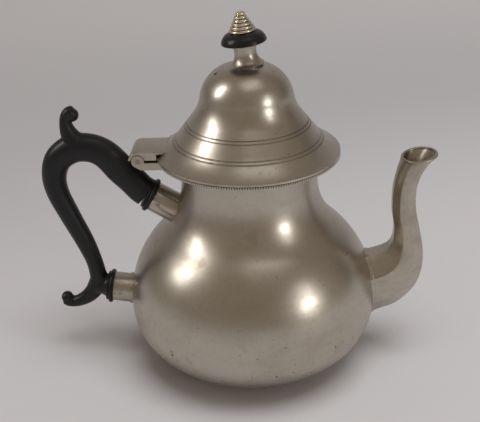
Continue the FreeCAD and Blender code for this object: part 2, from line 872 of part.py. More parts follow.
def make_finial_nut(foot):
    """Beehive nut: six rounded rings, each smaller than the one below."""
    layers = []
    step = "(Sizes.nut_radius - Sizes.nut_tip_radius) / %d" % (RINGS - 1)
    rise = size("nut_height") / RINGS
    for ring in range(RINGS):
        radius = "(Sizes.nut_radius - %d * %s)" % (ring, step)
        bead = doc.addObject("Part::Torus", "NutBead%d" % ring)
        bind(bead, "Radius2", "Sizes.nut_height / %d / 2" % RINGS)
        bind(bead, "Radius1", radius + " - Sizes.nut_height / %d / 2" % RINGS)
        bead.Placement = on_finial(foot + (ring + 0.5) * rise)
        core = doc.addObject("Part::Cylinder", "NutCore%d" % ring)
        bind(core, "Radius", radius + " - Sizes.nut_height / %d / 2" % RINGS)
        bind(core, "Height", "Sizes.nut_height / %d" % RINGS)
        core.Placement = on_finial(foot + ring * rise)
        layers += [bead, core]
    stack = doc.addObject("Part::MultiFuse", "NutStack")
    stack.Shapes = layers
    thread = doc.addObject("Part::Cylinder", "NutThread")
    bind(thread, "Radius", "Sizes.stud_radius")
    bind(thread, "Height", "Sizes.thread_share * Sizes.nut_height + Sizes.finial_sink")
    thread.Placement = on_finial(foot - size("finial_sink"))
    keep("finial_nut", trimmed("NutBored", stack, thread))


def make_finial_stud(lid):
    """Stud from inside the dome up into the nut, with a flat head soldered inside."""
    below = size("lid_wall") + size("stud_head_height")
    rod = doc.addObject("Part::Cylinder", "StudRod")
    bind(rod, "Radius", "Sizes.stud_radius")
    stack = "Sizes.finial_neck_height - Sizes.finial_sink + Sizes.disc_height"
    inside = "Sizes.lid_wall + Sizes.stud_head_height"
    bind(rod, "Height", "%s + %s + Sizes.thread_share * Sizes.nut_height" % (inside, stack))
    rod.Placement = on_finial(-below)
    head = doc.addObject("Part::Cylinder", "StudHead")
    bind(head, "Radius", "Sizes.stud_head_radius")
    bind(head, "Height", "Sizes.stud_head_height + Sizes.stud_clearance")
    head.Placement = on_finial(-below)
    both = doc.addObject("Part::Fuse", "StudWhole")
    both.Base = rod
    both.Tool = head
    keep("finial_stud", trimmed("StudTrim", both, lid))


# ---------------------------------------------------------------- lid hinge

PIN = ("-(Sizes.rim_radius + Sizes.hinge_standoff)", "Sizes.seat_height - Sizes.hinge_drop")


def pin_point():
    return (-size("rim_radius") - size("hinge_standoff"), size("seat_height") - size("hinge_drop"))


def knuckle(body, name, radius, length=None, cut=False):
    """Round pad or pocket about the hinge pin; with no length it cuts right through."""
    sketch = new_sketch(body, name, "XZ_Plane")
    circle(sketch, PIN[0], PIN[1], radius, pin_point())
    doc.recompute()
    if cut:
        return cut_through(body, sketch, name + "Cut", length)
    return pad(body, sketch, name + "Pad", length)


def make_pot_leaf():
    """Fixed leaf under the flange: block to the neck and two outer knuckles."""
    body = new_body("pot_leaf")
    pin_x, pin_z = pin_point()
    barrel = size("barrel_radius")
    low = pin_z - size("lower_leaf_drop")
    top = size("seat_height") - size("rim_thickness")
    back = math.radians(size("lower_leaf_angle"))
    side = (pin_x + barrel * math.cos(back), pin_z + barrel * math.sin(back))
    tuck = size("lower_leaf_tuck") - size("neck_radius")
    sketch = new_sketch(body, "PotLeafOutline", "XZ_Plane")
    line = Outline(sketch, (pin_x, top))
    line.line(side)
    line.line((pin_x + size("lower_leaf_toe"), low))
    line.line((tuck, low))
    line.line((tuck, top))
    line.line((pin_x, top))
    line.close()
    line.place(4, PIN[0], "Sizes.seat_height - Sizes.rim_thickness")
    swing = " + Sizes.barrel_radius * %s(Sizes.lower_leaf_angle * 1deg)"
    line.place(0, PIN[0] + swing % "cos", PIN[1] + swing % "sin")
    line.place(1, PIN[0] + " + Sizes.lower_leaf_toe", PIN[1] + " - Sizes.lower_leaf_drop")
    line.level(2)
    line.place(2, "Sizes.lower_leaf_tuck - Sizes.neck_radius", "")
    line.plumb(3)
    line.level(4)
    doc.recompute()
    pad(body, sketch, "PotLeafBlock", "Sizes.hinge_width")
    knuckle(body, "PotKnuckles", "Sizes.barrel_radius", "Sizes.hinge_width")
    knuckle(body, "CentreGap", "Sizes.barrel_radius + 2 * Sizes.hinge_clearance",
            "Sizes.centre_knuckle + 2 * Sizes.hinge_clearance", True)
    knuckle(body, "PotPinBore", "Sizes.pin_radius", None, True)
    sketch = new_sketch(body, "NeckTrim", "XY_Plane")
    circle(sketch, "", "", "Sizes.neck_radius")
    doc.recompute()
    cut_through(body, sketch, "NeckTrimCut", None, False, True)
    keep("hinge_pot_leaf", body)


def make_lid_leaf(lid_form):
    """Moving leaf: block that wraps over the barrel, centre knuckle and plate to the lid."""
    body = new_body("lid_leaf")
    pin_x, pin_z = pin_point()
    wrap = size("leaf_wrap_radius")
    under = pin_z + size("leaf_slot")
    plate = pin_z + wrap - size("leaf_plate")
    block_end = size("leaf_lap") - size("rim_radius")
    plate_end = size("leaf_plate_lap") - size("rim_radius")
    left = pin_x - math.sqrt(wrap ** 2 - size("leaf_slot") ** 2)
    sketch = new_sketch(body, "LidLeafOutline", "XZ_Plane")
    line = Outline(sketch, (left, under))
    line.line((block_end, under))
    line.line((block_end, plate))
    line.line((plate_end, plate))
    line.line((plate_end, pin_z + wrap))
    line.line((pin_x, pin_z + wrap))
    line.arc((pin_x, pin_z), (left, under), True)
    line.close()
    line.level(0)
    line.plumb(1)
    line.place(1, "Sizes.leaf_lap - Sizes.rim_radius",
               PIN[1] + " + Sizes.leaf_wrap_radius - Sizes.leaf_plate")
    line.level(2)
    line.place(2, "Sizes.leaf_plate_lap - Sizes.rim_radius", "")
    line.plumb(3)
    line.level(4)
    line.place(4, PIN[0], PIN[1] + " + Sizes.leaf_wrap_radius")
    line.centre(5, *PIN)
    line.place(5, "", PIN[1] + " + Sizes.leaf_slot")
    doc.recompute()
    pad(body, sketch, "LidLeafBlock", "Sizes.hinge_width")
    sketch = new_sketch(body, "RimRelief", "XY_Plane", "Sizes.seat_height + Sizes.lid_gap")
    circle(sketch, "", "", "Sizes.rim_radius + Sizes.hinge_clearance")
    doc.recompute()
    cut_through(body, sketch, "RimReliefCut", None, False, False)
    knuckle(body, "EndHollows", "Sizes.barrel_radius + Sizes.hinge_clearance", None, True)
    knuckle(body, "LidKnuckle", "Sizes.barrel_radius + Sizes.hinge_clearance", "Sizes.centre_knuckle")
    knuckle(body, "LidPinBore", "Sizes.pin_radius + Sizes.pin_clearance", None, True)
    keep("hinge_lid_leaf", trimmed("LidLeafTrim", body, lid_form))


def make_hinge_pin():
    """Plain pin, tight in the fixed knuckles and free in the moving one."""
    pin = doc.addObject("Part::Cylinder", "HingePin")
    bind(pin, "Radius", "Sizes.pin_radius")
    bind(pin, "Height", "Sizes.hinge_width")
    pin_x, pin_z = pin_point()
    lying = FreeCAD.Rotation(Vector(1, 0, 0), -90)
    pin.Placement = FreeCAD.Placement(Vector(pin_x, -size("hinge_width") / 2, pin_z), lying)
    keep("hinge_pin", pin)


# ---------------------------------------------------------------- handle

def socket_frame(which):
    """Start of a socket at the handle's collar, and its direction towards the pot."""
    slope = math.radians(size(which + "_socket_slope"))
    wall = size("neck_radius") if which == "upper" else size("belly_radius")
    reach = wall + size(which + "_socket_standoff")
    start = Vector(-reach, 0, size(which + "_socket_height"))
    return start, Vector(math.cos(slope), 0, -math.sin(slope))


def rod(start, direction, offset, length, radius):
    return Part.makeCylinder(radius, length, start + direction * offset, direction)


def tube_through(stations):
    """Solid of round or oval sections strung along the handle's curve."""
    wires = []
    for number, (place, depth, width) in enumerate(stations):
        before = stations[max(number - 1, 0)][0]
        after = stations[min(number + 1, len(stations) - 1)][0]
        along = (after - before).normalize()
        across = Vector(0, 1, 0)
        inward = along.cross(across)
        points = []
        for turn in range(8):
            angle = math.radians(45 * turn)
            points.append(place + inward * (depth * math.cos(angle)) + across * (width * math.sin(angle)))
        spline = Part.BSplineCurve()
        spline.interpolate(points, PeriodicFlag=True)
        wires.append(Part.Wire([spline.toShape()]))
    return Part.makeLoft(wires, True, False)


def make_handle():
    """Carved handle: arched grip, straight back, thumb scroll, tail scroll and collars."""
    half, side = size("grip_depth") / 2, size("grip_width") / 2
    thin = size("back_thickness") / 2
    crown = size("grip_crown_height")
    # the arch keeps clear of the belly and of the hinge behind the flange
    reach = size("grip_inset") - size("belly_radius") - size("rim_radius")
    upper, upper_axis = socket_frame("upper")
    lower, lower_axis = socket_frame("lower")
    first = upper - upper_axis * (size("collar_thickness") - 0.6)

    grip = tube_through([
        (first + upper_axis * 1.0, half * 1.06, side * 1.06),
        (first - upper_axis * 5.5 + Vector(0, 0, 0.6), half * 1.03, side * 1.02),
        (Vector(reach + 41.2, 0, crown - 19.8), half * 1.07, side),
        (Vector(reach + 34.2, 0, crown - 11.6), half * 1.02, side),
        (Vector(reach + 26.6, 0, crown - 7.9), half, side),
        (Vector(reach + 17.7, 0, crown - 8.2), half, side),
        (Vector(reach + 9.9, 0, crown - 13.6), half * 0.94, side),
        (Vector(reach + 6.6, 0, crown - 22.4), half * 0.85, side * 0.95),
        (Vector(reach + 7.4, 0, crown - 32.4), half * 0.78, side * 0.9),
        (Vector(reach + 12.3, 0, crown - 45.8), half * 0.72, side * 0.84),
        (Vector(reach + 18.5, 0, crown - 61.1), half * 0.66, side * 0.76),
        (Vector(reach + 22.3, 0, crown - 73.4), thin * 0.92, side * 0.70),
        (Vector(reach + 23.9, 0, crown - 83.5), thin, side * 0.68),
        (Vector(reach + 26.4, 0, crown - 88.6), thin * 1.15, side * 0.72),
    ])
    thumb = tube_through([
        (Vector(reach + 20.2, 0, crown - 6.6), 6.4, 5.6),
        (Vector(reach + 17.6, 0, crown - 0.4), 4.9, 4.4),
        (Vector(reach + 16.0, 0, crown + 5.0), 3.3, 3.4),
        (Vector(reach + 16.2, 0, crown + 9.6), 3.0, 3.1),
    ])
    curl = Part.makeSphere(3.8, Vector(reach + 18.5, 0, crown + 11.1))
    tail = tube_through([
        (Vector(reach + 23.6, 0, crown - 83.5), 4.2, 4.2),
        (Vector(reach + 20.2, 0, crown - 91.5), 4.6, 4.2),
        (Vector(reach + 14.6, 0, crown - 95.9), 3.9, 3.8),
        (Vector(reach + 8.6, 0, crown - 97.9), 3.2, 3.3),
        (Vector(reach + 4.8, 0, crown - 97.2), 3.1, 3.2),
    ])
    tail_curl = Part.makeSphere(3.5, Vector(reach + 4.6, 0, crown - 95.4))
    link_run = (lower.x - reach - 22.2) / lower_axis.x
    link = rod(lower, lower_axis, -link_run, link_run - 1.5, 5.6)

    pieces = [thumb, curl, tail, tail_curl, link]
    for start, axis in ((upper, upper_axis), (lower, lower_axis)):
        pieces.append(collar(start, axis))
        tenon = size("socket_radius") - size("socket_wall") - size("socket_fit")
        pieces.append(rod(start, axis, -1.5, size("tenon_length") + 1.5, tenon))
    whole = grip
    for piece in pieces:
        whole = whole.fuse(piece)
    return whole.cut(pin_rod("upper")).cut(pin_rod("lower"))


def collar(start, axis):
    """Turned bead that covers the mouth of a socket."""
    thick, wide = size("collar_thickness"), size("collar_radius")
    disc = rod(start, axis, -thick, thick, wide)
    return disc.makeFillet(thick * 0.42, [edge for edge in disc.Edges if edge.Curve.TypeId == "Part::GeomCircle"])


def pin_rod(which):
    """Cross pin half way along a tenon."""
    start, axis = socket_frame(which)
    middle = start + axis * (size("tenon_length") * 0.5)
    half = size("socket_radius")
    return Part.makeCylinder(size("socket_pin_radius"), 2 * half, middle - Vector(0, half, 0), Vector(0, 1, 0))


def make_sockets(pot_form):
    """Two pewter sockets soldered on the pot; the lower one has a band at its foot."""
    for which in ("upper", "lower"):
        start, axis = socket_frame(which)
        outer = rod(start, axis, 0, 40, size("socket_radius"))
        hollow = rod(start, axis, -1, 42, size("socket_radius") - size("socket_wall"))
        socket = outer.cut(hollow).cut(pot_form).cut(pin_rod(which))
        nearest = min(socket.Solids, key=lambda solid: solid.CenterOfMass.x)
        feature(which + "_socket", nearest)
    start, axis = socket_frame("lower")
    band = rod(start, axis, 0, 40, size("socket_radius") + size("lower_band_proud"))
    band = band.cut(rod(start, axis, -1, 42, size("socket_radius")))
    near = grown_pot(pot_form, size("lower_band_width")).cut(pot_form)
    ring = min(band.common(near).Solids, key=lambda solid: solid.CenterOfMass.x)
    feature("lower_socket_band", ring)


def check_document():
    """Stop before anything is written if any object failed to build."""
    doc.recompute()
    failed = [thing.Name for thing in doc.Objects if {"Invalid", "Error"} & set(thing.State)]
    if failed:
        raise RuntimeError("failed: " + ", ".join(failed))
    for node, thing in NODES.items():
        if thing.Shape.isNull() or not thing.Shape.isValid() or not thing.Shape.Solids:
            raise RuntimeError(node + " has no valid solid")


def main():
    pot_form = make_pot().Shape
    make_base_plate()
    make_rim_ring()
    make_spout(pot_form)
    lid, lid_form = make_lid()
    make_bezel(lid)
    make_finial(lid, lid_form)
    make_pot_leaf()
    make_lid_leaf(lid_form)
    make_hinge_pin()
    feature("handle", main_solid(make_handle()))
    make_sockets(pot_form)
    pins = Part.makeCompound([pin_rod("upper"), pin_rod("lower")])
    feature("handle_pins", pins)
    check_document()
    os.makedirs("parts", exist_ok=True)
    for node, thing in NODES.items():
        thing.Shape.exportStep("parts/%s.step" % node)


main()
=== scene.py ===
"""Pewter teapot: visual pieces laid over the fixed CAD frame, all in metres."""
import math

import bmesh
import bpy
from bpy.props import FloatProperty, FloatVectorProperty, IntProperty, PointerProperty
from mathutils import Matrix, Vector


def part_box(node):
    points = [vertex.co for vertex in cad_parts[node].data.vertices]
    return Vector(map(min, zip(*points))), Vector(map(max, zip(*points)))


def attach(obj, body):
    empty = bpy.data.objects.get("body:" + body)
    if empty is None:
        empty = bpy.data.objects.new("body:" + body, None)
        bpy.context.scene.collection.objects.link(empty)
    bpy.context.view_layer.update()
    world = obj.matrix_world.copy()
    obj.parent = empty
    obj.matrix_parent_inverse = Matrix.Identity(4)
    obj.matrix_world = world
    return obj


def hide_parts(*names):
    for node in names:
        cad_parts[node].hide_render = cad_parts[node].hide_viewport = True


bl_info = {
    "name": "Pewter Teapot",
    "version": (1, 0, 0),
    "blender": (4, 5, 0),
    "location": "View3D > Sidebar > Teapot",
    "description": "Builds the pot, lid, spout, handle, hinge and finial of a pewter teapot",
    "category": "Add Mesh",
}

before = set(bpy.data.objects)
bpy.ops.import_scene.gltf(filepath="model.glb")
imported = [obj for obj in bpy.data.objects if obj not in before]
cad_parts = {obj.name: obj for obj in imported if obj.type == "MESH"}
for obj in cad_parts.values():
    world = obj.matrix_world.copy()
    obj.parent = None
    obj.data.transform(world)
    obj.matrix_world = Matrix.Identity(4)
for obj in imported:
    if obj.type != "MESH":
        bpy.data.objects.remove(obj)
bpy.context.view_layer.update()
MM = 0.001

POT_NODES = ("pot_bowl", "pot_shoulder")
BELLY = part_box("pot_bowl")[1].x
POT_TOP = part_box("pot_shoulder")[1].z
RIM_LOW, RIM_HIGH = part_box("rim_ring")
LID_LOW, LID_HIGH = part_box("lid_shell")


# ------------------------------------------------------------------ settings

def length(name, description, default):
    """A length property in metres."""
    return FloatProperty(
        name=name, description=description, default=default,
        min=0.0, precision=5, subtype="DISTANCE", unit="LENGTH",
    )


def slant(name, description, degrees):
    """An angle property; its default is given in degrees."""
    return FloatProperty(
        name=name, description=description, default=math.radians(degrees), subtype="ANGLE",
    )


def colour(name, description, default):
    """A plain colour property."""
    return FloatVectorProperty(
        name=name, description=description, default=default,
        size=3, min=0.0, max=1.0, subtype="COLOR",
    )


def share(name, description, default):
    """A property between nothing and all."""
    return FloatProperty(
        name=name, description=description, default=default,
        min=0.0, max=1.0, subtype="FACTOR",
    )


class TeapotPotSizes(bpy.types.PropertyGroup):
    """Sizes of the pear-shaped pot and its milled flange"""
    wall: length("Wall", "Thickness of the pot's wall", 1.5 * MM)
    base_radius: length("Foot Radius", "Outside radius of the foot", 34.5 * MM)
    foot_height: length("Foot Height", "Height of the belly's lowest point", 3.5 * MM)
    belly_height: length("Belly Height", "Height of the widest point", 37.0 * MM)
    neck_radius: length("Neck Radius", "Outside radius of the neck", 34.8 * MM)
    neck_height: length("Neck Height", "Where the shoulder becomes the neck", 104.0 * MM)
    neck_curve: length("Neck Curve", "Radius of the hollow shoulder", 35.5 * MM)
    teeth: IntProperty(name="Milled Teeth", description="Ribs round the flange's edge", default=236, min=12)
    tooth_depth: length("Tooth Depth", "How far the milling is cut in", 0.6 * MM)
    strainer_pitch: length("Strainer Pitch", "Distance between strainer rings", 5.6 * MM)
    strainer_hole: length("Strainer Hole", "Radius of a strainer hole", 1.7 * MM)
    strainer_height: length("Strainer Height", "Height of the strainer's centre", 42.5 * MM)


class TeapotLidSizes(bpy.types.PropertyGroup):
    """Sizes of the bell lid, measured up from its edge"""
    wall: length("Wall", "Thickness of the lid's wall", 1.3 * MM)
    lip: length("Lip", "Height of the upright edge", 0.9 * MM)
    shoulder_radius: length("Shoulder Radius", "Radius where the cone starts", 35.1 * MM)
    shoulder_height: length("Shoulder Height", "Height where the cone starts", 10.0 * MM)
    cone_angle: slant("Cone Angle", "Lean of the cone from upright", 37.7)
    waist_curve: length("Waist Curve", "Radius of the hollow under the dome", 22.0 * MM)
    dome_curve: length("Dome Curve", "Radius of the dome's outline", 18.4 * MM)
    dome_offset: length("Dome Offset", "Distance of the dome's centre from the axis", 5.0 * MM)
    line_depth: length("Line Depth", "Depth of the turned lines", 0.27 * MM)
    line_spacing: length("Line Spacing", "Distance between the lines of a pair", 1.7 * MM)
    lower_line: length("Lower Lines", "Height of the lower pair", 7.1 * MM)
    upper_line: length("Upper Lines", "Height of the upper pair", 14.9 * MM)
    vent: length("Vent", "Radius of the steam vent", 0.9 * MM)
    vent_place: share("Vent Place", "How far out on the dome's curve the vent is", 0.56)
    vent_azimuth: slant("Vent Azimuth", "Way that the vent lies from the axis", 200.0)


class TeapotFinialSizes(bpy.types.PropertyGroup):
    """Sizes of the finial's neck, disc and nut"""
    lean: slant("Lean", "Lean of the finial towards the handle", 6.0)
    shift: length("Shift", "How far the finial stands off the pot's axis", 0.6 * MM)
    sink: length("Sink", "How far the neck is let into the dome", 1.0 * MM)
    neck_height: length("Neck Height", "Height of the pewter neck", 10.8 * MM)
    neck_base: length("Neck Base", "Radius of the neck where it meets the dome", 8.6 * MM)
    neck_waist: length("Neck Waist", "Smallest radius of the neck", 5.4 * MM)
    neck_top: length("Neck Top", "Radius of the neck under the disc", 5.9 * MM)
    neck_foot: length("Neck Foot", "Height of the neck's upright foot", 1.1 * MM)
    waist_place: share("Waist Place", "Height of the waist as a share of the neck", 0.62)
    disc_radius: length("Disc Radius", "Radius of the black disc", 11.15 * MM)
    disc_height: length("Disc Height", "Height of the black disc", 6.0 * MM)
    nut_radius: length("Nut Radius", "Radius of the lowest ring", 6.6 * MM)
    nut_tip: length("Nut Tip", "Radius of the highest ring", 2.3 * MM)
    nut_height: length("Nut Height", "Height of the beehive nut", 9.4 * MM)
    rings: IntProperty(name="Rings", description="Rings on the beehive nut", default=6, min=2)


class TeapotSpoutSizes(bpy.types.PropertyGroup):
    """Sizes of the faceted spout"""
    wall: length("Wall", "Thickness of the spout's wall", 1.2 * MM)
    root_height: length("Root Height", "Height of the root's centre", 42.5 * MM)
    mouth_height: length("Mouth Height", "Height of the mouth's centre", 114.1 * MM)
    mouth_reach: length("Mouth Reach", "Distance of the mouth from the axis", 85.9 * MM)
    root_depth: length("Root Depth", "Height of the root's section", 32.6 * MM)
    root_width: length("Root Width", "Width of the root's section", 26.0 * MM)
    stem_depth: length("Stem Depth", "Depth of the stem's section", 11.8 * MM)
    stem_width: length("Stem Width", "Width of the stem's section", 12.8 * MM)
    mouth_depth: length("Mouth Depth", "Depth of the mouth", 18.2 * MM)
    mouth_width: length("Mouth Width", "Width of the mouth", 20.0 * MM)
    lip_wire: length("Lip Wire", "Radius of the rolled lip", 0.8 * MM)
    band_width: length("Root Band", "Width of the strip round the root", 1.7 * MM)


class TeapotHandleSizes(bpy.types.PropertyGroup):
    """Sizes of the carved handle"""
    grip_depth: length("Grip Depth", "Thickness of the arch from the side", 15.0 * MM)
    grip_width: length("Grip Width", "Thickness of the arch from above", 13.0 * MM)
    collar_radius: length("Collar Radius", "Radius of the turned collars", 9.1 * MM)
    collar_thickness: length("Collar Thickness", "Thickness of the turned collars", 2.3 * MM)
    voxel: length("Carving Detail", "Cell size that blends the carved parts", 0.55 * MM)


class TeapotFinish(bpy.types.PropertyGroup):
    """Colours of the teapot's materials"""
    pewter: colour("Pewter", "Clean pewter", (0.53, 0.485, 0.42))
    tarnish: colour("Tarnish", "Darkened pewter", (0.33, 0.275, 0.205))
    # the grime colour is dirt in pits and also painted shade under the flange, in the lid's lines and
    # between milled teeth
    grime_and_shade: colour("Grime", "Dirt in lines and seams", (0.075, 0.06, 0.042))
    brass: colour("Nut", "Pale brass of the nut", (0.74, 0.68, 0.54))
    black: colour("Black", "Lacquered handle and disc", (0.0065, 0.0068, 0.008))
    roughness: share("Roughness", "Roughness of the clean pewter", 0.27)


class TeapotStageSizes(bpy.types.PropertyGroup):
    """Camera, floor and lights"""
    distance: length("Distance", "Level distance of the camera", 0.424)
    height: length("Height", "Height of the camera", 0.2875)
    aim_side: length("Aim Side", "How far the aim is to the handle's side", 0.00538)
    aim_height: length("Aim Height", "Height that the camera aims at", 0.08479)
    azimuth: slant("Azimuth", "Turn of the camera towards the spout", 2.0)
    roll: slant("Roll", "Roll of the camera", -2.12)
    lens: FloatProperty(name="Lens", description="Focal length in millimetres", default=67.65, min=1.0)
    floor_colour: colour("Floor", "Colour of the floor and backdrop", (0.60, 0.585, 0.60))
    room_colour: colour("Room", "Colour of the room around the pot", (0.30, 0.257, 0.205))
    room_strength: FloatProperty(name="Room Light", description="Strength of the room's light", default=0.92)


# ------------------------------------------------------------------ shader sums

class Signal:
    """A shader value or vector that ordinary arithmetic can combine."""

    def __init__(self, finish, socket):
        self.finish = finish
        self.socket = socket

    def _math(self, operation, first, second):
        return self.finish.node("ShaderNodeMath", {"operation": operation}, {0: first, 1: second})

    def __add__(self, other):
        return self._math("ADD", self, other)

    def __radd__(self, other):
        return self._math("ADD", other, self)

    def __sub__(self, other):
        return self._math("SUBTRACT", self, other)

    def __rsub__(self, other):
        return self._math("SUBTRACT", other, self)

    def __mul__(self, other):
        return self._math("MULTIPLY", self, other)

    def __rmul__(self, other):
        return self._math("MULTIPLY", other, self)

    def __pow__(self, other):
        return self._math("POWER", self, other)

    def at_most(self, other):
        return self._math("MINIMUM", self, other)

    def at_least(self, other):
        return self._math("MAXIMUM", self, other)


class Finish:
    """One procedural material, built up from nodes."""

    def __init__(self, name):
        self.material = bpy.data.materials.new(name)
        self.material.use_nodes = True
        self.tree = self.material.node_tree
        self.tree.nodes.clear()
        output = self.tree.nodes.new("ShaderNodeOutputMaterial")
        self.shader = self.tree.nodes.new("ShaderNodeBsdfPrincipled")
        self.tree.links.new(self.shader.outputs[0], output.inputs[0])
        self.place = self.node("ShaderNodeTexCoord", {}, {}, "Object")

    def node(self, kind, settings, values, output=0):
        """Add a node: its settings first, then its sockets' values or links."""
        made = self.tree.nodes.new(kind)
        for key, value in settings.items():
            setattr(made, key, value)
        for key, value in values.items():
            self.feed(made.inputs[key], value)
        return Signal(self, made.outputs[output])

    def feed(self, socket, value):
        """Link a signal to a socket, or set the socket's own value."""
        if isinstance(value, Signal):
            self.tree.links.new(value.socket, socket)
        elif socket.type == "RGBA" and len(value) == 3:
            socket.default_value = (*value, 1.0)
        else:
            socket.default_value = value

    def noise(self, scale, detail=3.0, roughness=0.5, place=None, distortion=0.0):
        """Cloudy pattern; a larger scale is finer."""
        values = {"Vector": place or self.place, "Scale": scale, "Detail": detail,
                  "Roughness": roughness, "Distortion": distortion}
        return self.node("ShaderNodeTexNoise", {}, values)

    def ramp(self, value, low, high):
        """0 below low, 1 above high, smooth between."""
        settings = {"interpolation_type": "SMOOTHSTEP", "clamp": True}
        return self.node("ShaderNodeMapRange", settings, {0: value, 1: low, 2: high, 3: 0.0, 4: 1.0})

    def mix(self, amount, first, second):
        """Blend of two colours."""
        settings = {"data_type": "RGBA", "clamp_factor": True}
        return self.node("ShaderNodeMix", settings, {0: amount, 6: first, 7: second}, 2)

    def parts(self):
        """The three numbers of the place on the object."""
        made = self.tree.nodes.new("ShaderNodeSeparateXYZ")
        self.feed(made.inputs[0], self.place)
        return [Signal(self, output) for output in made.outputs]

    def vector(self, across, along, up):
        """A place made of three numbers."""
        return self.node("ShaderNodeCombineXYZ", {}, {0: across, 1: along, 2: up})

    def bump(self, height, distance, strength=1.0, under=None):
        """Surface tilt from a height pattern, laid over the tilt under it."""
        values = {"Strength": strength, "Distance": distance, "Height": height}
        if under:
            values["Normal"] = under
        return self.node("ShaderNodeBump", {}, values)

    def set(self, **values):
        """Feed the shader; names use underscores for spaces."""
        for key, value in values.items():
            self.feed(self.shader.inputs[key.replace("_", " ")], value)


def settings():
    """The colours of the finishes."""
    return bpy.context.scene.teapot_finish


def turned_radius(finish):
    """Distance from the pot's axis."""
    across, along, _ = finish.parts()
    return (across * across + along * along) ** 0.5


def tarnish_cover(finish, mottle):
    """How dark the metal is: clouds, streaks, mottling, fine stains and spots."""
    clouds = finish.ramp(finish.noise(scale=26.0, detail=4.0, roughness=0.55, distortion=0.6), 0.42, 0.68)
    banded = finish.vector(*stretch(finish, 3.0, 14.0))
    streaks = finish.ramp(finish.noise(scale=9.0, detail=3.0, roughness=0.5, place=banded), 0.50, 0.72)
    fine = finish.ramp(finish.noise(scale=480.0, detail=4.0, roughness=0.65), 0.46, 0.62)
    spots = finish.ramp(finish.noise(scale=95.0, detail=2.0, roughness=0.35, distortion=0.5), 0.66, 0.76)
    mottled = finish.ramp(mottle, 0.50, 0.80)
    return clouds * 0.55 + streaks * 0.35 + mottled * 0.28 + fine * 0.22 + spots * 0.55


def grime_and_shade_cover(finish, up, seams, low_pits, groove):
    """Where dirt and painted shade lie: dirt specks in pits, painted shade along seams at given heights and
    between milled teeth.
    """
    specks = finish.ramp(finish.noise(scale=420.0, detail=2.0, roughness=0.5), 0.67, 0.76)
    if low_pits:
        dirt_and_shade = specks * (0.25 + 0.75 * (1.0 - finish.ramp(up, 18 * MM, 55 * MM)))
    else:
        dirt_and_shade = specks * 0.35
    blur = 0.4 * MM
    # painted shade: a dark band at each given height, under the flange or in a scored line
    for low, high in seams:
        inside = finish.ramp(up, low - blur, low) * (1.0 - finish.ramp(up, high, high + blur))
        dirt_and_shade = dirt_and_shade.at_least(inside * 0.4)
    # painted shade between the milled teeth; only the teeth's tips stay bright
    if groove:
        deep, proud = groove
        radius = turned_radius(finish)
        near_edge = finish.ramp(radius, deep - 1.2 * MM, deep - 0.8 * MM)
        dirt_and_shade = dirt_and_shade.at_least((1.0 - finish.ramp(radius, deep, proud)) * near_edge * 0.9)
    return dirt_and_shade


def pewter(name, spun=True, tarnish=0.5, seams=(), low_pits=False, dents=1.0, groove=None):
    """Satin pewter: cloudy tarnish, fine turning or casting marks, scratches, grime specks and painted shade
    in seams, lines and between milled teeth.
    """
    look = settings()
    finish = Finish(name)
    _, _, up = finish.parts()
    mottle = finish.noise(scale=150.0, detail=5.0, roughness=0.62)
    stain = tarnish_cover(finish, mottle) * tarnish
    dirt_and_shade = grime_and_shade_cover(finish, up, seams, low_pits, groove)
    tone = finish.mix(stain.at_most(1.0), look.pewter, look.tarnish)
    # dirt specks and painted shade darken the tone
    tone = finish.mix(dirt_and_shade, tone, look.grime_and_shade)

    combed = finish.vector(*stretch(finish, 60.0, 900.0))
    scratches = finish.ramp(finish.noise(scale=1.0, detail=3.0, roughness=0.6, place=combed), 0.60, 0.72)
    rough = look.roughness + stain * 0.13 + mottle * 0.07 + dirt_and_shade * 0.25 - scratches * 0.04
    finish.set(Base_Color=tone, Metallic=1.0, Roughness=rough.at_most(0.75))

    height = finish.noise(scale=34.0, detail=2.0, roughness=0.4) * dents
    normal = finish.bump(height, 0.55 * MM, 0.55)
    if spun:
        turning = finish.vector(turned_radius(finish) * 2600.0, 0.0, up * 2600.0)
        lines = finish.noise(scale=1.0, detail=2.0, roughness=0.7, place=turning)
        normal = finish.bump(lines, 0.02 * MM, 0.45, normal)
    grain = mottle * 0.6 + finish.noise(scale=900.0, detail=2.0, roughness=0.5) * 0.4 - dirt_and_shade * 0.8
    finish.set(Normal=finish.bump(grain, 0.04 * MM, 0.5, normal))
    return finish.material


def stretch(finish, around, upward):
    """Place stretched into bands that run round the pot."""
    across, along, up = finish.parts()
    return across * around, along * around, up * upward


def black_lacquer(name, roughness=0.34):
    """Black lacquered wood: faint grain, rubbed patches and a soft clear coat."""
    look = settings()
    finish = Finish(name)
    drawn_out = finish.vector(*stretch(finish, 9.0, 2.0))
    grain = finish.noise(scale=70.0, detail=4.0, roughness=0.6, place=drawn_out)
    rubbed = finish.ramp(finish.noise(scale=55.0, detail=3.0, roughness=0.5), 0.52, 0.72)
    worn_black, brown_grain = (0.013, 0.0125, 0.013), (0.014, 0.010, 0.007)
    tone = finish.mix(rubbed * 0.5, look.black, worn_black)
    tone = finish.mix(finish.ramp(grain, 0.55, 0.8) * 0.4, tone, brown_grain)
    finish.set(Base_Color=tone, Roughness=roughness + grain * 0.10 + rubbed * 0.08)
    finish.set(Coat_Weight=0.06, Coat_Roughness=0.2, Specular_IOR_Level=0.34)
    normal = finish.bump(grain, 0.12 * MM, 0.35)
    pores = finish.noise(scale=1400.0, detail=2.0, roughness=0.5)
    finish.set(Normal=finish.bump(pores, 0.02 * MM, 0.3, normal))
    return finish.material


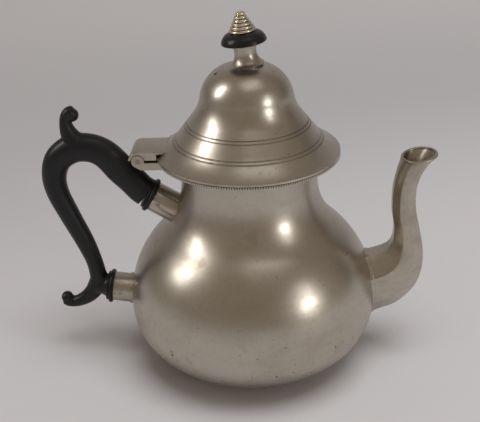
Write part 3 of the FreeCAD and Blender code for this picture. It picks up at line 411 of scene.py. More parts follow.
def pale_brass(name):
    """Bright turned nut: pale yellow metal with cloudy dull patches."""
    look = settings()
    finish = Finish(name)
    cloud = finish.ramp(finish.noise(scale=260.0, detail=4.0, roughness=0.6), 0.42, 0.72)
    dull_brass = (0.42, 0.36, 0.25)
    tone = finish.mix(cloud * 0.6, look.brass, dull_brass)
    fine = finish.noise(scale=2600.0, detail=2.0, roughness=0.6)
    finish.set(Base_Color=tone, Metallic=1.0, Roughness=0.2 + cloud * 0.16 + fine * 0.04)
    finish.set(Normal=finish.bump(fine, 0.02 * MM, 0.4))
    return finish.material


def dull_steel(name):
    """Plain steel of the pins and the stud."""
    finish = Finish(name)
    cloud = finish.noise(scale=700.0, detail=3.0, roughness=0.6)
    clean_steel, stained_steel = (0.45, 0.42, 0.38), (0.25, 0.22, 0.18)
    tone = finish.mix(cloud, clean_steel, stained_steel)
    finish.set(Base_Color=tone, Metallic=1.0, Roughness=0.36 + cloud * 0.2)
    finish.set(Normal=finish.bump(cloud, 0.03 * MM, 0.5))
    return finish.material


def backdrop_finish():
    """Pale matt paper, with painted shade behind the pot and to its left."""
    finish = Finish("Backdrop Paper")
    base = Vector(bpy.context.scene.teapot_stage.floor_colour)
    across, along, _ = finish.parts()
    # painted shade: the paper is darker behind the pot and to its left
    painted_shade = finish.ramp(along - across * 0.35, 0.05, 0.42) * (1.0 - finish.ramp(along, 0.40, 0.95))
    tone = finish.mix(painted_shade.at_most(1.0), tuple(base), tuple(base * 0.80))
    finish.set(Base_Color=tone, Roughness=0.85)
    fibre = finish.noise(scale=900.0, detail=3.0, roughness=0.6)
    finish.set(Normal=finish.bump(fibre, 0.1 * MM, 0.15))
    return finish.material


# ------------------------------------------------------------------ mesh helpers

def placed(name, data):
    """Put a mesh, a light or a camera in the scene under a name."""
    thing = bpy.data.objects.new(name, data)
    bpy.context.scene.collection.objects.link(thing)
    return thing


def new_piece(name, points, faces, edges=()):
    """Put a mesh of given points in the scene."""
    mesh = bpy.data.meshes.new(name)
    mesh.from_pydata([tuple(point) for point in points], edges, faces)
    return placed(name, mesh)


def settle(piece, smooth_angle=32.0):
    """Bake the modifiers, merge doubles, face outwards and shade smooth up to an angle."""
    bpy.context.view_layer.update()
    graph = bpy.context.evaluated_depsgraph_get()
    mesh = bpy.data.meshes.new_from_object(piece.evaluated_get(graph))
    piece.modifiers.clear()
    piece.data = mesh
    work = bmesh.new()
    work.from_mesh(mesh)
    bmesh.ops.remove_doubles(work, verts=work.verts, dist=0.004 * MM)
    bmesh.ops.dissolve_degenerate(work, edges=work.edges, dist=0.002 * MM)
    bmesh.ops.recalc_face_normals(work, faces=work.faces)
    for face in work.faces:
        face.smooth = True
    work.to_mesh(mesh)
    work.free()
    mesh.set_sharp_from_angle(angle=math.radians(smooth_angle))
    return piece


def finish_piece(piece, body, slot, material, *nodes):
    """Give a piece its material and the body that it rides on, and hide the CAD nodes that it replaces."""
    piece.data.materials.clear()
    piece.data.materials.append(material)
    if nodes:
        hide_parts(*nodes)
    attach(piece, body)


def join_meshes(name, pieces):
    """One object from several; the originals go."""
    work = bmesh.new()
    for piece in pieces:
        work.from_mesh(piece.data)
        bpy.data.objects.remove(piece)
    mesh = bpy.data.meshes.new(name)
    work.to_mesh(mesh)
    work.free()
    return placed(name, mesh)


def drilled(piece, tool):
    """Cut a tool's shape out of a piece; the tool goes."""
    cut = piece.modifiers.new(tool.name, "BOOLEAN")
    cut.operation = "DIFFERENCE"
    cut.solver = "EXACT"
    cut.object = tool
    settle(piece)
    bpy.data.objects.remove(tool)


def arc(centre, radius, start, end, steps):
    """Points of a round stretch of outline; the angles are in radians."""
    points = []
    for step in range(steps + 1):
        angle = start + (end - start) * step / steps
        points.append((centre[0] + radius * math.cos(angle), centre[1] + radius * math.sin(angle)))
    return points


def between(values, share_along):
    """Smooth value between given ones, on a Catmull-Rom curve."""
    last = len(values) - 1
    spot = min(max(share_along, 0.0), 1.0) * last
    index = min(int(spot), last - 1)
    part = spot - index
    a = values[max(index - 1, 0)]
    b = values[index]
    c = values[index + 1]
    d = values[min(index + 2, last)]
    curve = (2 * b + (c - a) * part + (2 * a - 5 * b + 4 * c - d) * part ** 2
             + (3 * b - 3 * c + d - a) * part ** 3)
    return curve * 0.5


# ------------------------------------------------------------------ geometry nodes

class Recipe:
    """A geometry node tree with named inputs."""

    def __init__(self, name, inputs):
        self.tree = bpy.data.node_groups.new(name, "GeometryNodeTree")
        self.tree.is_modifier = True
        face = self.tree.interface
        face.new_socket("Geometry", in_out="INPUT", socket_type="NodeSocketGeometry")
        for label, kind in inputs:
            face.new_socket(label, in_out="INPUT", socket_type=kind)
        face.new_socket("Geometry", in_out="OUTPUT", socket_type="NodeSocketGeometry")
        self.start = self.tree.nodes.new("NodeGroupInput")

    def node(self, kind, settings, values, output=0):
        made = self.tree.nodes.new(kind)
        for key, value in settings.items():
            setattr(made, key, value)
        for key, value in values.items():
            if isinstance(value, bpy.types.NodeSocket):
                self.tree.links.new(value, made.inputs[key])
            else:
                made.inputs[key].default_value = value
        return made.outputs[output]

    def sum(self, operation, first, second):
        return self.node("ShaderNodeMath", {"operation": operation}, {0: first, 1: second})

    def finish(self, geometry, material):
        solid = self.node("GeometryNodeRealizeInstances", {}, {0: geometry})
        coated = self.node("GeometryNodeSetMaterial", {}, {"Geometry": solid, "Material": material})
        end = self.tree.nodes.new("NodeGroupOutput")
        self.tree.links.new(coated, end.inputs[0])
        return self.tree


def apply_recipe(piece, tree, **values):
    """Put a tree on a piece; values go in by the identifiers of the named inputs."""
    modifier = piece.modifiers.new(tree.name, "NODES")
    modifier.node_group = tree
    names = {item.name: item.identifier for item in tree.interface.items_tree if item.in_out == "INPUT"}
    for label, value in values.items():
        modifier[names[label.replace("_", " ")]] = value
    return piece


def lathe_recipe():
    """Turns an outline, given as a row of points, about the Z axis."""
    recipe = Recipe("Turned Piece", [("Steps Around", "NodeSocketInt"), ("Finish", "NodeSocketMaterial")])
    outline = recipe.start.outputs["Geometry"]
    steps = recipe.start.outputs["Steps Around"]
    rows = recipe.node("GeometryNodeAttributeDomainSize", {}, {0: outline})
    columns = recipe.sum("ADD", steps, 1.0)
    grid = recipe.node("GeometryNodeMeshGrid", {}, {"Vertices X": columns, "Vertices Y": rows})
    index = recipe.node("GeometryNodeInputIndex", {}, {})
    row = recipe.sum("MODULO", index, rows)
    column = recipe.sum("FLOOR", recipe.sum("DIVIDE", index, rows), 0.0)
    place = recipe.node("GeometryNodeInputPosition", {}, {})
    point = recipe.node("GeometryNodeSampleIndex", {"data_type": "FLOAT_VECTOR", "domain": "POINT"},
                        {"Geometry": outline, "Value": place, "Index": row})
    split = recipe.tree.nodes.new("ShaderNodeSeparateXYZ")
    recipe.tree.links.new(point, split.inputs[0])
    angle = recipe.sum("DIVIDE", recipe.sum("MULTIPLY", column, math.tau), steps)
    across = recipe.sum("MULTIPLY", split.outputs[0], recipe.sum("COSINE", angle, 0.0))
    along = recipe.sum("MULTIPLY", split.outputs[0], recipe.sum("SINE", angle, 0.0))
    spot = recipe.node("ShaderNodeCombineXYZ", {}, {0: across, 1: along, 2: split.outputs[2]})
    moved = recipe.node("GeometryNodeSetPosition", {}, {"Geometry": grid, "Position": spot})
    merged = recipe.node("GeometryNodeMergeByDistance", {}, {"Geometry": moved, "Distance": 0.003 * MM})
    return recipe.finish(merged, recipe.start.outputs["Finish"])


def milling_recipe():
    """Upright ribs, evenly spaced round a circle."""
    recipe = Recipe("Milled Edge", [
        ("Teeth", "NodeSocketInt"), ("Radius", "NodeSocketFloat"), ("Height", "NodeSocketFloat"),
        ("Tooth Radius", "NodeSocketFloat"), ("Finish", "NodeSocketMaterial"),
    ])
    given = recipe.start.outputs
    circle = recipe.node("GeometryNodeMeshCircle", {}, {
        "Vertices": given["Teeth"], "Radius": given["Radius"],
    })
    rib = recipe.node("GeometryNodeMeshCylinder", {}, {
        "Vertices": 8, "Radius": given["Tooth Radius"], "Depth": given["Height"],
    })
    ribs = recipe.node("GeometryNodeInstanceOnPoints", {}, {"Points": circle, "Instance": rib})
    return recipe.finish(ribs, given["Finish"])


def strainer_recipe():
    """Rods in rings about the X axis, used to cut the strainer's holes."""
    recipe = Recipe("Strainer Rods", [
        ("Pitch", "NodeSocketFloat"), ("Hole Radius", "NodeSocketFloat"), ("Length", "NodeSocketFloat"),
        ("Finish", "NodeSocketMaterial"),
    ])
    given = recipe.start.outputs
    join = recipe.tree.nodes.new("GeometryNodeJoinGeometry")
    rod = recipe.node("GeometryNodeMeshCylinder", {}, {
        "Vertices": 20, "Radius": given["Hole Radius"], "Depth": given["Length"],
    })
    recipe.tree.links.new(rod, join.inputs[0])
    for ring, count in ((1, 6), (2, 12)):
        radius = recipe.sum("MULTIPLY", given["Pitch"], float(ring))
        circle = recipe.node("GeometryNodeMeshCircle", {}, {"Vertices": count, "Radius": radius})
        rods = recipe.node("GeometryNodeInstanceOnPoints", {}, {"Points": circle, "Instance": rod})
        recipe.tree.links.new(rods, join.inputs[0])
    return recipe.finish(join.outputs[0], given["Finish"])


def wire_recipe():
    """Round wire along a closed loop of edges."""
    recipe = Recipe("Bent Wire", [("Wire Radius", "NodeSocketFloat"), ("Finish", "NodeSocketMaterial")])
    given = recipe.start.outputs
    path = recipe.node("GeometryNodeMeshToCurve", {}, {0: given["Geometry"]})
    section = recipe.node("GeometryNodeCurvePrimitiveCircle", {}, {
        "Resolution": 12, "Radius": given["Wire Radius"],
    })
    wire = recipe.node("GeometryNodeCurveToMesh", {}, {"Curve": path, "Profile Curve": section})
    return recipe.finish(wire, given["Finish"])


def recipe_named(name, build):
    """The tree of that name, built on its first use."""
    return bpy.data.node_groups.get(name) or build()


def turned(name, outline, steps=192):
    """Closed outline of (radius, height) points turned about the axis."""
    points = [(radius, 0.0, height) for radius, height in outline]
    points.append(points[0])
    row = new_piece(name, points, [])
    return apply_recipe(row, recipe_named("Turned Piece", lathe_recipe), Steps_Around=steps)


# ------------------------------------------------------------------ pot

def pot_curves():
    """Centres and radii of the pot's outline."""
    pot = bpy.context.scene.teapot_pot
    belly = BELLY
    low = pot.belly_height - pot.foot_height
    inset, rise = belly - pot.neck_radius, pot.neck_height - pot.belly_height
    both = (inset ** 2 + rise ** 2) / (2 * inset)
    high = both - pot.neck_curve
    turn = math.atan2(rise, pot.neck_radius + pot.neck_curve - (belly - high))
    return belly, low, high, turn


def pot_side(inset):
    """Outline of the pot from foot to rim, moved inwards by an amount."""
    pot = bpy.context.scene.teapot_pot
    belly, low, high, turn = pot_curves()
    base = pot.base_radius - inset
    radius = low - inset
    offset = base - (belly - low)
    first = -math.acos(offset / radius)
    side = [(base, 0.0)]
    side += arc((belly - low, pot.belly_height), radius, first, 0.0, 26)
    side += arc((belly - high, pot.belly_height), high - inset, 0.0, turn, 26)[1:]
    neck_centre = (pot.neck_radius + pot.neck_curve, pot.neck_height)
    side += arc(neck_centre, pot.neck_curve + inset, turn - math.pi, -math.pi, 22)[1:]
    side.append((pot.neck_radius - inset, POT_TOP))
    return side


def pot_radius_at(height):
    """Outside radius of the pot at a height between the belly and the neck."""
    pot = bpy.context.scene.teapot_pot
    belly, low, high, turn = pot_curves()
    if height < pot.belly_height:
        drop = pot.belly_height - height
        return belly - low + math.sqrt(max(low ** 2 - drop ** 2, 0.0))
    if height > pot.neck_height:
        return pot.neck_radius
    bend = pot.belly_height + high * math.sin(turn)
    if height < bend:
        return belly - high + math.sqrt(high ** 2 - (height - pot.belly_height) ** 2)
    drop = pot.neck_height - height
    return pot.neck_radius + pot.neck_curve - math.sqrt(pot.neck_curve ** 2 - drop ** 2)


class TEAPOT_OT_pot(bpy.types.Operator):
    """Turn the pear-shaped pot, drill its strainer and let in its base"""
    bl_idname = "teapot.pot"
    bl_label = "Pot"

    def execute(self, context):
        sizes = context.scene.teapot_pot
        outline = pot_side(0.0) + pot_side(sizes.wall)[::-1]
        pot = settle(turned("Pot", outline, 256))
        drill_strainer(pot, sizes)
        # painted shadow: a dark band just under the flange
        seams = ((RIM_LOW.z - 0.8 * MM, RIM_LOW.z),)
        metal = pewter("Spun Pewter Pot", seams=seams, low_pits=True)
        finish_piece(pot, "pot", "pewter_body", metal, *POT_NODES)

        low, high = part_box("base_plate")
        edge = 0.3 * MM
        outline = [(0.0, low.z), (high.x - edge, low.z), (high.x, low.z + edge),
                   (high.x, high.z), (0.0, high.z)]
        plate = settle(turned("Base_Plate", outline, 128))
        finish_piece(plate, "pot", "pewter_body", metal, "base_plate")
        return {"FINISHED"}


def drill_strainer(pot, sizes):
    """Cut the holes behind the spout with rods laid along the X axis."""
    rods = new_piece("Strainer_Rods", [(0, 0, 0)], [])
    apply_recipe(rods, strainer_recipe(), Pitch=sizes.strainer_pitch,
                 Hole_Radius=sizes.strainer_hole, Length=20 * MM)
    settle(rods)
    reach = pot_radius_at(sizes.strainer_height)
    lay = Matrix.Rotation(math.radians(90), 4, "Y")
    rods.data.transform(Matrix.Translation((reach, 0, sizes.strainer_height)) @ lay)
    drilled(pot, rods)


class TEAPOT_OT_rim(bpy.types.Operator):
    """Turn the flange under the lid and mill its edge"""
    bl_idname = "teapot.rim"
    bl_label = "Milled Rim"

    def execute(self, context):
        sizes = context.scene.teapot_pot
        radius, low, high = RIM_HIGH.x, RIM_LOW.z, RIM_HIGH.z
        inner = sizes.neck_radius - sizes.wall
        core = radius - sizes.tooth_depth
        edge = 0.25 * MM
        outline = [(inner, low), (core - edge, low), (core, low + edge),
                   (core, high - edge), (core - edge, high), (inner, high)]
        flange = settle(turned("Flange", outline, sizes.teeth))
        fullness = 0.92
        tooth = math.pi * radius / sizes.teeth * fullness
        ribs = new_piece("Ribs", [(0, 0, 0)], [])
        apply_recipe(ribs, milling_recipe(), Teeth=sizes.teeth, Radius=radius - tooth,
                     Height=high - low - 2 * edge, Tooth_Radius=tooth)
        settle(ribs, 50.0)
        ribs.data.transform(Matrix.Translation((0, 0, (low + high) / 2)))
        rim = settle(join_meshes("Milled_Rim", [flange, ribs]), 50.0)
        # painted shade between the milled teeth
        groove = (radius - 0.45 * MM, radius - 0.28 * MM)
        metal = pewter("Milled Pewter Rim", tarnish=0.1, groove=groove)
        finish_piece(rim, "pot", "pewter_rim", metal, "rim_ring")
        return {"FINISHED"}


# ------------------------------------------------------------------ lid

def along_line(start, end, steps):
    """Even steps along a straight stretch, without its first point."""
    return [tuple(start + (end - start) * (step / steps)) for step in range(1, steps + 1)]


def lid_side(inset, brim_steps, cone_steps):
    """Outline of the bell from its edge to its top, moved inwards by an amount."""
    lid = bpy.context.scene.teapot_lid
    angle = lid.cone_angle
    slope = Vector((-math.sin(angle), math.cos(angle)))
    outward = Vector((math.cos(angle), math.sin(angle)))
    lip = Vector((LID_HIGH.x, lid.lip))
    shoulder = Vector((lid.shoulder_radius, lid.shoulder_height))
    chord = lip - shoulder
    brim_curve = chord.length_squared / (2 * chord.dot(outward))
    brim = shoulder + outward * brim_curve
    dome_height = LID_HIGH.z - LID_LOW.z - lid.dome_curve
    dome = Vector((lid.dome_offset, dome_height))
    both = lid.waist_curve + lid.dome_curve
    start = shoulder + outward * lid.waist_curve - dome
    half = start.dot(slope)
    run = -half - math.sqrt(half ** 2 - start.length_squared + both ** 2)
    waist = shoulder + outward * lid.waist_curve + slope * run
    meeting = dome + (waist - dome) * (lid.dome_curve / both)

    def turn(centre, point):
        return math.atan2(point.y - centre.y, point.x - centre.x)

    first, last = turn(brim, lip) % math.tau, turn(brim, shoulder) % math.tau
    side = [(lip.x - inset, 0.0)]
    brim_arc = arc(brim, brim_curve + inset, first, last, brim_steps)
    side += [point for point in brim_arc if point[0] <= lip.x - inset and point[1] > 0.0]
    low, high = shoulder - outward * inset, shoulder + slope * run - outward * inset
    side += along_line(low, high, cone_steps)
    first, last = turn(waist, shoulder + slope * run) % math.tau, turn(waist, meeting) % math.tau
    side += arc(waist, lid.waist_curve + inset, first, last, 30)[1:]
    side += arc(dome, lid.dome_curve - inset, turn(dome, meeting), math.pi / 2, 34)[1:]
    side.append((0.0, dome_height + lid.dome_curve - inset))
    return [(radius, height + LID_LOW.z) for radius, height in side]


def line_heights():
    """Heights of the four turned lines above the lid's edge."""
    lid = bpy.context.scene.teapot_lid
    step = lid.line_spacing * math.cos(lid.cone_angle)
    return [first + number * step for first in (lid.lower_line, lid.upper_line) for number in (0, 1)]


def scored(side, depth):
    """Cut the turned lines into the bell's outline, along its inward normal."""
    marks = []
    for height in line_heights():
        marks.append(min(side[2:-2], key=lambda point: abs(point[1] - LID_LOW.z - height)))
    cut = []
    for number, point in enumerate(side):
        before = side[max(number - 1, 0)]
        after = side[min(number + 1, len(side) - 1)]
        nearest = min(math.dist(point, mark) for mark in marks)
        if nearest >= depth or before == after:
            cut.append(point)
            continue
        along = Vector(after) - Vector(before)
        inward = Vector((-along.y, along.x)).normalized()
        sunk = Vector(point) + inward * math.sqrt(depth ** 2 - nearest ** 2)
        cut.append(tuple(sunk))
    return cut


class TEAPOT_OT_lid(bpy.types.Operator):
    """Turn the bell lid with its scored lines, drill its vent and add its inner ring"""
    bl_idname = "teapot.lid"
    bl_label = "Lid"

    def execute(self, context):
        sizes = context.scene.teapot_lid
        # the scored outside needs fine steps, the plain inside only a few
        outside = scored(lid_side(0.0, 120, 90), sizes.line_depth)
        inside = lid_side(sizes.wall, 48, 12)
        lid = settle(turned("Lid", outside + inside[::-1], 224))
        drill_vent(lid, sizes)
        # painted shade in the scored lines
        half = sizes.line_depth * 0.5
        lines = [(LID_LOW.z + height - half, LID_LOW.z + height + half) for height in line_heights()]
        metal = pewter("Spun Pewter Lid", seams=lines, tarnish=0.42, dents=0.7)
        finish_piece(lid, "lid", "pewter_lid", metal, "lid_shell")

        low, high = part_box("lid_bezel")
        pot = context.scene.teapot_pot
        clearance, wall = 0.5 * MM, 1.2 * MM
        skirt = pot.neck_radius - pot.wall - clearance
        flange = high.x - 0.1 * MM
        seat = LID_LOW.z
        outline = [(skirt - wall, low.z), (skirt, low.z), (skirt, seat), (flange, seat),
                   (flange, seat + 0.4 * MM), (flange - 1.2 * MM, seat + wall), (skirt - wall, seat + wall)]
        bezel = settle(turned("Lid_Bezel", outline, 192))
        inner = pewter("Pewter Inner Ring", tarnish=0.9)
        finish_piece(bezel, "lid", "pewter_lid", inner, "lid_bezel")
        return {"FINISHED"}


def drill_vent(lid, sizes):
    """Cut the small steam vent through the dome."""
    reach = sizes.dome_offset + sizes.dome_curve * sizes.vent_place
    half = 20 * MM
    outline = [(0.0, -half), (sizes.vent, -half), (sizes.vent, half), (0.0, half)]
    drill = settle(turned("Vent_Drill", outline, 24))
    turn = sizes.vent_azimuth
    spot = (reach * math.cos(turn), reach * math.sin(turn), LID_HIGH.z)
    drill.data.transform(Matrix.Translation(spot))
    drilled(lid, drill)


# ------------------------------------------------------------------ finial

def on_finial(height):
    """Matrix that stands a turned piece on the leaning axis, at a height above the dome."""
    sizes = bpy.context.scene.teapot_finial
    foot = Matrix.Translation((sizes.shift, 0, LID_HIGH.z))
    return foot @ Matrix.Rotation(-sizes.lean, 4, "Y") @ Matrix.Translation((0, 0, height))


def finial_neck_outline(sizes):
    """Flared foot, hollow waist and slightly wider top."""
    waist_up = sizes.waist_place * sizes.neck_height
    foot, under = sizes.neck_foot, 0.3 * MM
    outline = [(0.0, under), (sizes.neck_base - 0.5 * MM, under), (sizes.neck_base - 0.12 * MM, 0.7 * MM),
               (sizes.neck_base, foot)]
    steps = 16
    base, top = (sizes.neck_base, foot), (sizes.neck_top, sizes.neck_height)
    for goal in (base, top):
        across, up = goal[0] - sizes.neck_waist, goal[1] - waist_up
        radius = (across ** 2 + up ** 2) / (2 * across)
        bend = []
        for step in range(steps + 1):
            height = goal[1] + (waist_up - goal[1]) * step / steps
            swing = math.sqrt(max(radius ** 2 - (height - waist_up) ** 2, 0.0))
            bend.append((sizes.neck_waist + radius - swing, height))
        outline += bend[1:] if goal is base else bend[:-1][::-1]
    outline.append((0.0, sizes.neck_height))
    return outline


def disc_outline(sizes):
    """Cone-shaped underside, keen edge and swelling top."""
    rise, edge = 1.1 * MM, 0.3 * MM
    start = (sizes.disc_radius, rise)
    end = (sizes.nut_radius - 0.4 * MM, sizes.disc_height)
    outline = [(0.0, 0.0), (sizes.neck_top + 0.4 * MM, 0.0), (sizes.disc_radius - edge, rise - 0.28 * MM),
               (sizes.disc_radius - 0.05 * MM, rise)]
    chord = Vector(end) - Vector(start)
    normal = Vector((chord.y, -chord.x)).normalized()
    bulge, steps = 1.2 * MM, 24
    for step in range(1, steps + 1):
        share_along = step / steps
        swell = bulge * 4 * share_along * (1 - share_along)
        point = Vector(start) + chord * share_along + normal * swell
        outline.append((min(point.x, sizes.disc_radius), point.y))
    outline.append((0.0, sizes.disc_height))
    return outline


def nut_outline(sizes):
    """Beehive of half-round rings, each smaller than the one below."""
    rise = sizes.nut_height / sizes.rings
    bead, fullness = rise / 2, 0.985
    taper = (sizes.nut_radius - sizes.nut_tip) / (sizes.rings - 1)
    outline = [(0.0, 0.0)]
    for ring in range(sizes.rings):
        centre = (sizes.nut_radius - ring * taper - bead, (ring + 0.5) * rise)
        outline += arc(centre, bead * fullness, -math.pi / 2, math.pi / 2, 9)
    outline.append((0.0, sizes.nut_height))
    return outline


class TEAPOT_OT_finial(bpy.types.Operator):
    """Stack the pewter neck, the black disc and the beehive nut on their leaning axis"""
    bl_idname = "teapot.finial"
    bl_label = "Finial"

    def execute(self, context):
        sizes = context.scene.teapot_finial
        disc_foot = sizes.neck_height - sizes.sink
        nut_foot = disc_foot + sizes.disc_height
        made = (
            ("Finial_Neck", finial_neck_outline(sizes), -sizes.sink, "finial_neck", "pewter_lid",
             pewter("Pewter Finial Neck", tarnish=0.7, dents=0.3)),
            ("Finial_Disc", disc_outline(sizes), disc_foot, "finial_disc", "black_disc",
             black_lacquer("Black Disc", 0.30)),
            ("Finial_Nut", nut_outline(sizes), nut_foot, "finial_nut", "finial_brass",
             pale_brass("Pale Brass Nut")),
        )
        for name, outline, height, node, slot, material in made:
            piece = settle(turned(name, outline, 96), 40.0)
            piece.data.transform(on_finial(height))
            finish_piece(piece, "lid", slot, material, node)
        return {"FINISHED"}


# ------------------------------------------------------------------ spout

class SpoutForm:
    """The spout's surface: a faceted tube that becomes round at its mouth."""

    # along and up are shares of the run from root to mouth; lean is in degrees;
    # then come the shares of root, stem and mouth in the section, and its roundness
    PLAN = (
        (-0.55, -0.055, 10, 1.12, 0.00, 0.00, 0.0),
        (0.00, 0.003, 11, 1.00, 0.00, 0.00, 0.0),
        (0.42, 0.053, 18, 0.94, 0.03, 0.00, 0.0),
        (0.72, 0.147, 37, 0.67, 0.33, 0.00, 0.0),
        (0.83, 0.286, 66, 0.30, 0.70, 0.00, 0.0),
        (0.80, 0.440, 83, 0.08, 0.92, 0.00, 0.0),
        (0.72, 0.586, 92, 0.02, 0.98, 0.00, 0.0),
        (0.71, 0.734, 90, 0.00, 1.00, 0.00, 0.05),
        (0.78, 0.855, 86, 0.00, 0.92, 0.08, 0.35),
        (0.885, 0.938, 90, 0.00, 0.57, 0.43, 0.75),
        (1.00, 1.000, 98, 0.00, 0.00, 1.00, 1.0),
    )

    def __init__(self, sizes):
        inside_belly = 2.2 * MM
        root = Vector((BELLY - inside_belly, 0, sizes.root_height))
        run = Vector((sizes.mouth_reach, 0, sizes.mouth_height)) - root
        self.stations = []
        for along, up, lean, of_root, of_stem, of_mouth, roundness in self.PLAN:
            depth = of_root * sizes.root_depth + of_stem * sizes.stem_depth + of_mouth * sizes.mouth_depth
            width = of_root * sizes.root_width + of_stem * sizes.stem_width + of_mouth * sizes.mouth_width
            self.stations.append((root.x + along * run.x, root.z + up * run.z, math.radians(lean),
                                  depth / 2, width / 2, roundness))

    def section(self, spot):
        """Centre, lean, half depth, half width and roundness at a share of the length."""
        return [between([station[k] for station in self.stations], spot) for k in range(6)]

    def point(self, spot, angle, grow=0.0):
        """Place on the surface, at a share of the length and an angle round it."""
        across, up, lean, depth, width, roundness = self.section(spot)
        out = Vector((-math.sin(lean), 0, math.cos(lean)))
        eighth, corner, least_swell = math.pi / 4, 1.068, 0.02
        off = (angle + eighth / 2) % eighth - eighth / 2
        facet = min(1 / math.cos(off), corner)
        swell = min(max(least_swell + (1 - least_swell) * roundness, 0.0), 1.0)
        reach = facet * (1 - swell) + swell
        width_part = Vector((0, (width + grow) * reach * math.sin(angle), 0))
        return Vector((across, 0, up)) + out * ((depth + grow) * reach * math.cos(angle)) + width_part

    def meets_pot(self, angle, grow, gap):
        """Share of the length where the surface is a gap outside the pot, found by halving."""
        low, high, halvings = 0.0, 0.42, 26
        for _ in range(halvings):
            middle = (low + high) / 2
            point = self.point(middle, angle, grow)
            outside = math.hypot(point.x, point.y) - pot_radius_at(point.z)
            if outside < gap:
                low = middle
            else:
                high = middle
        return (low + high) / 2


def ring_faces(rows, columns, closed_rows=False):
    """Quads between rows of points that close on themselves."""
    faces = []
    last = rows if closed_rows else rows - 1
    for row in range(last):
        after = (row + 1) % rows
        for column in range(columns):
            beside = (column + 1) % columns
            faces.append((row * columns + column, row * columns + beside,
                          after * columns + beside, after * columns + column))
    return faces


class TEAPOT_OT_spout(bpy.types.Operator):
    """Loft the faceted spout, its rolled lip and the strip round its root"""
    bl_idname = "teapot.spout"
    bl_label = "Spout"

    def execute(self, context):
        sizes = context.scene.teapot_spout
        form = SpoutForm(sizes)
        columns, rows = 64, 110
        angles = [math.tau * column / columns for column in range(columns)]
        points = []
        let_in = 0.8 * MM
        for grow, order in ((0.0, range(rows + 1)), (-sizes.wall, range(rows, -1, -1))):
            starts = [form.meets_pot(angle, grow, -let_in) for angle in angles]
            for row in order:
                points += [form.point(start + (1 - start) * row / rows, angle, grow)
                           for start, angle in zip(starts, angles)]
        tube = new_piece("Spout", points, ring_faces(2 * (rows + 1), columns, True))
        settle(tube, 14.0)
        cast = pewter("Cast Pewter Spout", spun=False, tarnish=0.75, dents=0.8)
        finish_piece(tube, "pot", "pewter_spout", cast, "spout_tube")

        edge = [form.point(1.0, angle, -sizes.wall / 2) for angle in angles]
        loop = [(column, (column + 1) % columns) for column in range(columns)]
        lip = new_piece("Spout_Lip", edge, [], loop)
        apply_recipe(lip, wire_recipe(), Wire_Radius=sizes.lip_wire)
        settle(lip, 60.0)
        finish_piece(lip, "pot", "pewter_spout", cast, "spout_lip")

        proud = 0.42 * MM
        profile = ((-0.6 * MM, -0.2 * MM), (-0.6 * MM, proud), (sizes.band_width - 0.35 * MM, proud),
                   (sizes.band_width - 0.08 * MM, proud * 0.75), (sizes.band_width, 0.05 * MM),
                   (sizes.band_width, -0.25 * MM))
        strip = []
        for gap, grow in profile:
            strip += [form.point(form.meets_pot(angle, 0.0, gap), angle, grow) for angle in angles]
        band = new_piece("Spout_Root_Band", strip, ring_faces(len(profile), columns, True))
        settle(band, 14.0)
        finish_piece(band, "pot", "pewter_spout", pewter("Solder Strip", spun=False, tarnish=0.9),
                     "spout_root_band")
        return {"FINISHED"}


# ------------------------------------------------------------------ handle

def limb(name, stations, samples=8, around=28):
    """Carved limb through (x, z, half depth, half width) stations, in millimetres, closed with flat ends."""
    columns = [[station[k] * MM for station in stations] for k in range(4)]
    total = (len(stations) - 1) * samples
    spots = [step / total for step in range(total + 1)]
    path = [Vector((between(columns[0], spot), 0, between(columns[1], spot))) for spot in spots]
    points = []
    for number, spot in enumerate(spots):
        along = (path[min(number + 1, total)] - path[max(number - 1, 0)]).normalized()
        inward = along.cross(Vector((0, 1, 0)))
        depth, width = between(columns[2], spot), between(columns[3], spot)
        for column in range(around):
            angle = math.tau * column / around
            points.append(path[number] + inward * (depth * math.cos(angle))
                          + Vector((0, width * math.sin(angle), 0)))
    faces = ring_faces(total + 1, around)
    faces.append(tuple(range(around))[::-1])
    faces.append(tuple(range(total * around, (total + 1) * around)))
    return new_piece(name, points, faces)


def ball(name, across, up, radius, stretch_across):
    """Rounded end of a scroll, in millimetres, stretched a little across."""
    work = bmesh.new()
    place = Matrix.Translation((across * MM, 0, up * MM)) @ Matrix.Diagonal((1, stretch_across, 1, 1))
    bmesh.ops.create_uvsphere(work, u_segments=32, v_segments=20, radius=radius * MM, matrix=place)
    mesh = bpy.data.meshes.new(name)
    work.to_mesh(mesh)
    work.free()
    return placed(name, mesh)


# the handle's ends on its sockets: (x, z) in millimetres and the socket's slope in degrees
UPPER_END = (-50.1, 94.3, 31.5)
LOWER_END = (-75.2, 40.9, 8.0)
# stations of the carved limbs: (x, z, half depth, half width), in millimetres
GRIP = (
    (-53.5, 96.5, 7.9, 6.9), (-56.4, 98.9, 7.8, 6.7), (-60.2, 103.5, 7.8, 6.6), (-65.8, 109.7, 8.0, 6.5),
    (-72.8, 117.9, 7.65, 6.5), (-80.4, 121.6, 7.5, 6.5), (-89.3, 121.3, 7.5, 6.5),
    (-97.1, 115.9, 7.05, 6.5), (-100.4, 107.1, 6.4, 6.2), (-99.6, 97.1, 5.85, 5.85),
    (-94.7, 83.7, 5.4, 5.45), (-88.5, 68.4, 4.95, 4.95), (-84.7, 56.1, 4.4, 4.55),
    (-83.1, 46.0, 4.8, 4.4), (-81.2, 41.6, 5.6, 4.8),
)
THUMB = (
    (-85.3, 121.0, 6.6, 5.8), (-88.2, 125.6, 5.6, 5.1), (-90.4, 130.4, 4.3, 4.2), (-91.2, 134.6, 3.3, 3.7),
    (-90.8, 138.4, 2.9, 3.5), (-89.1, 141.0, 2.7, 3.4), (-86.7, 141.6, 2.6, 3.3),
)
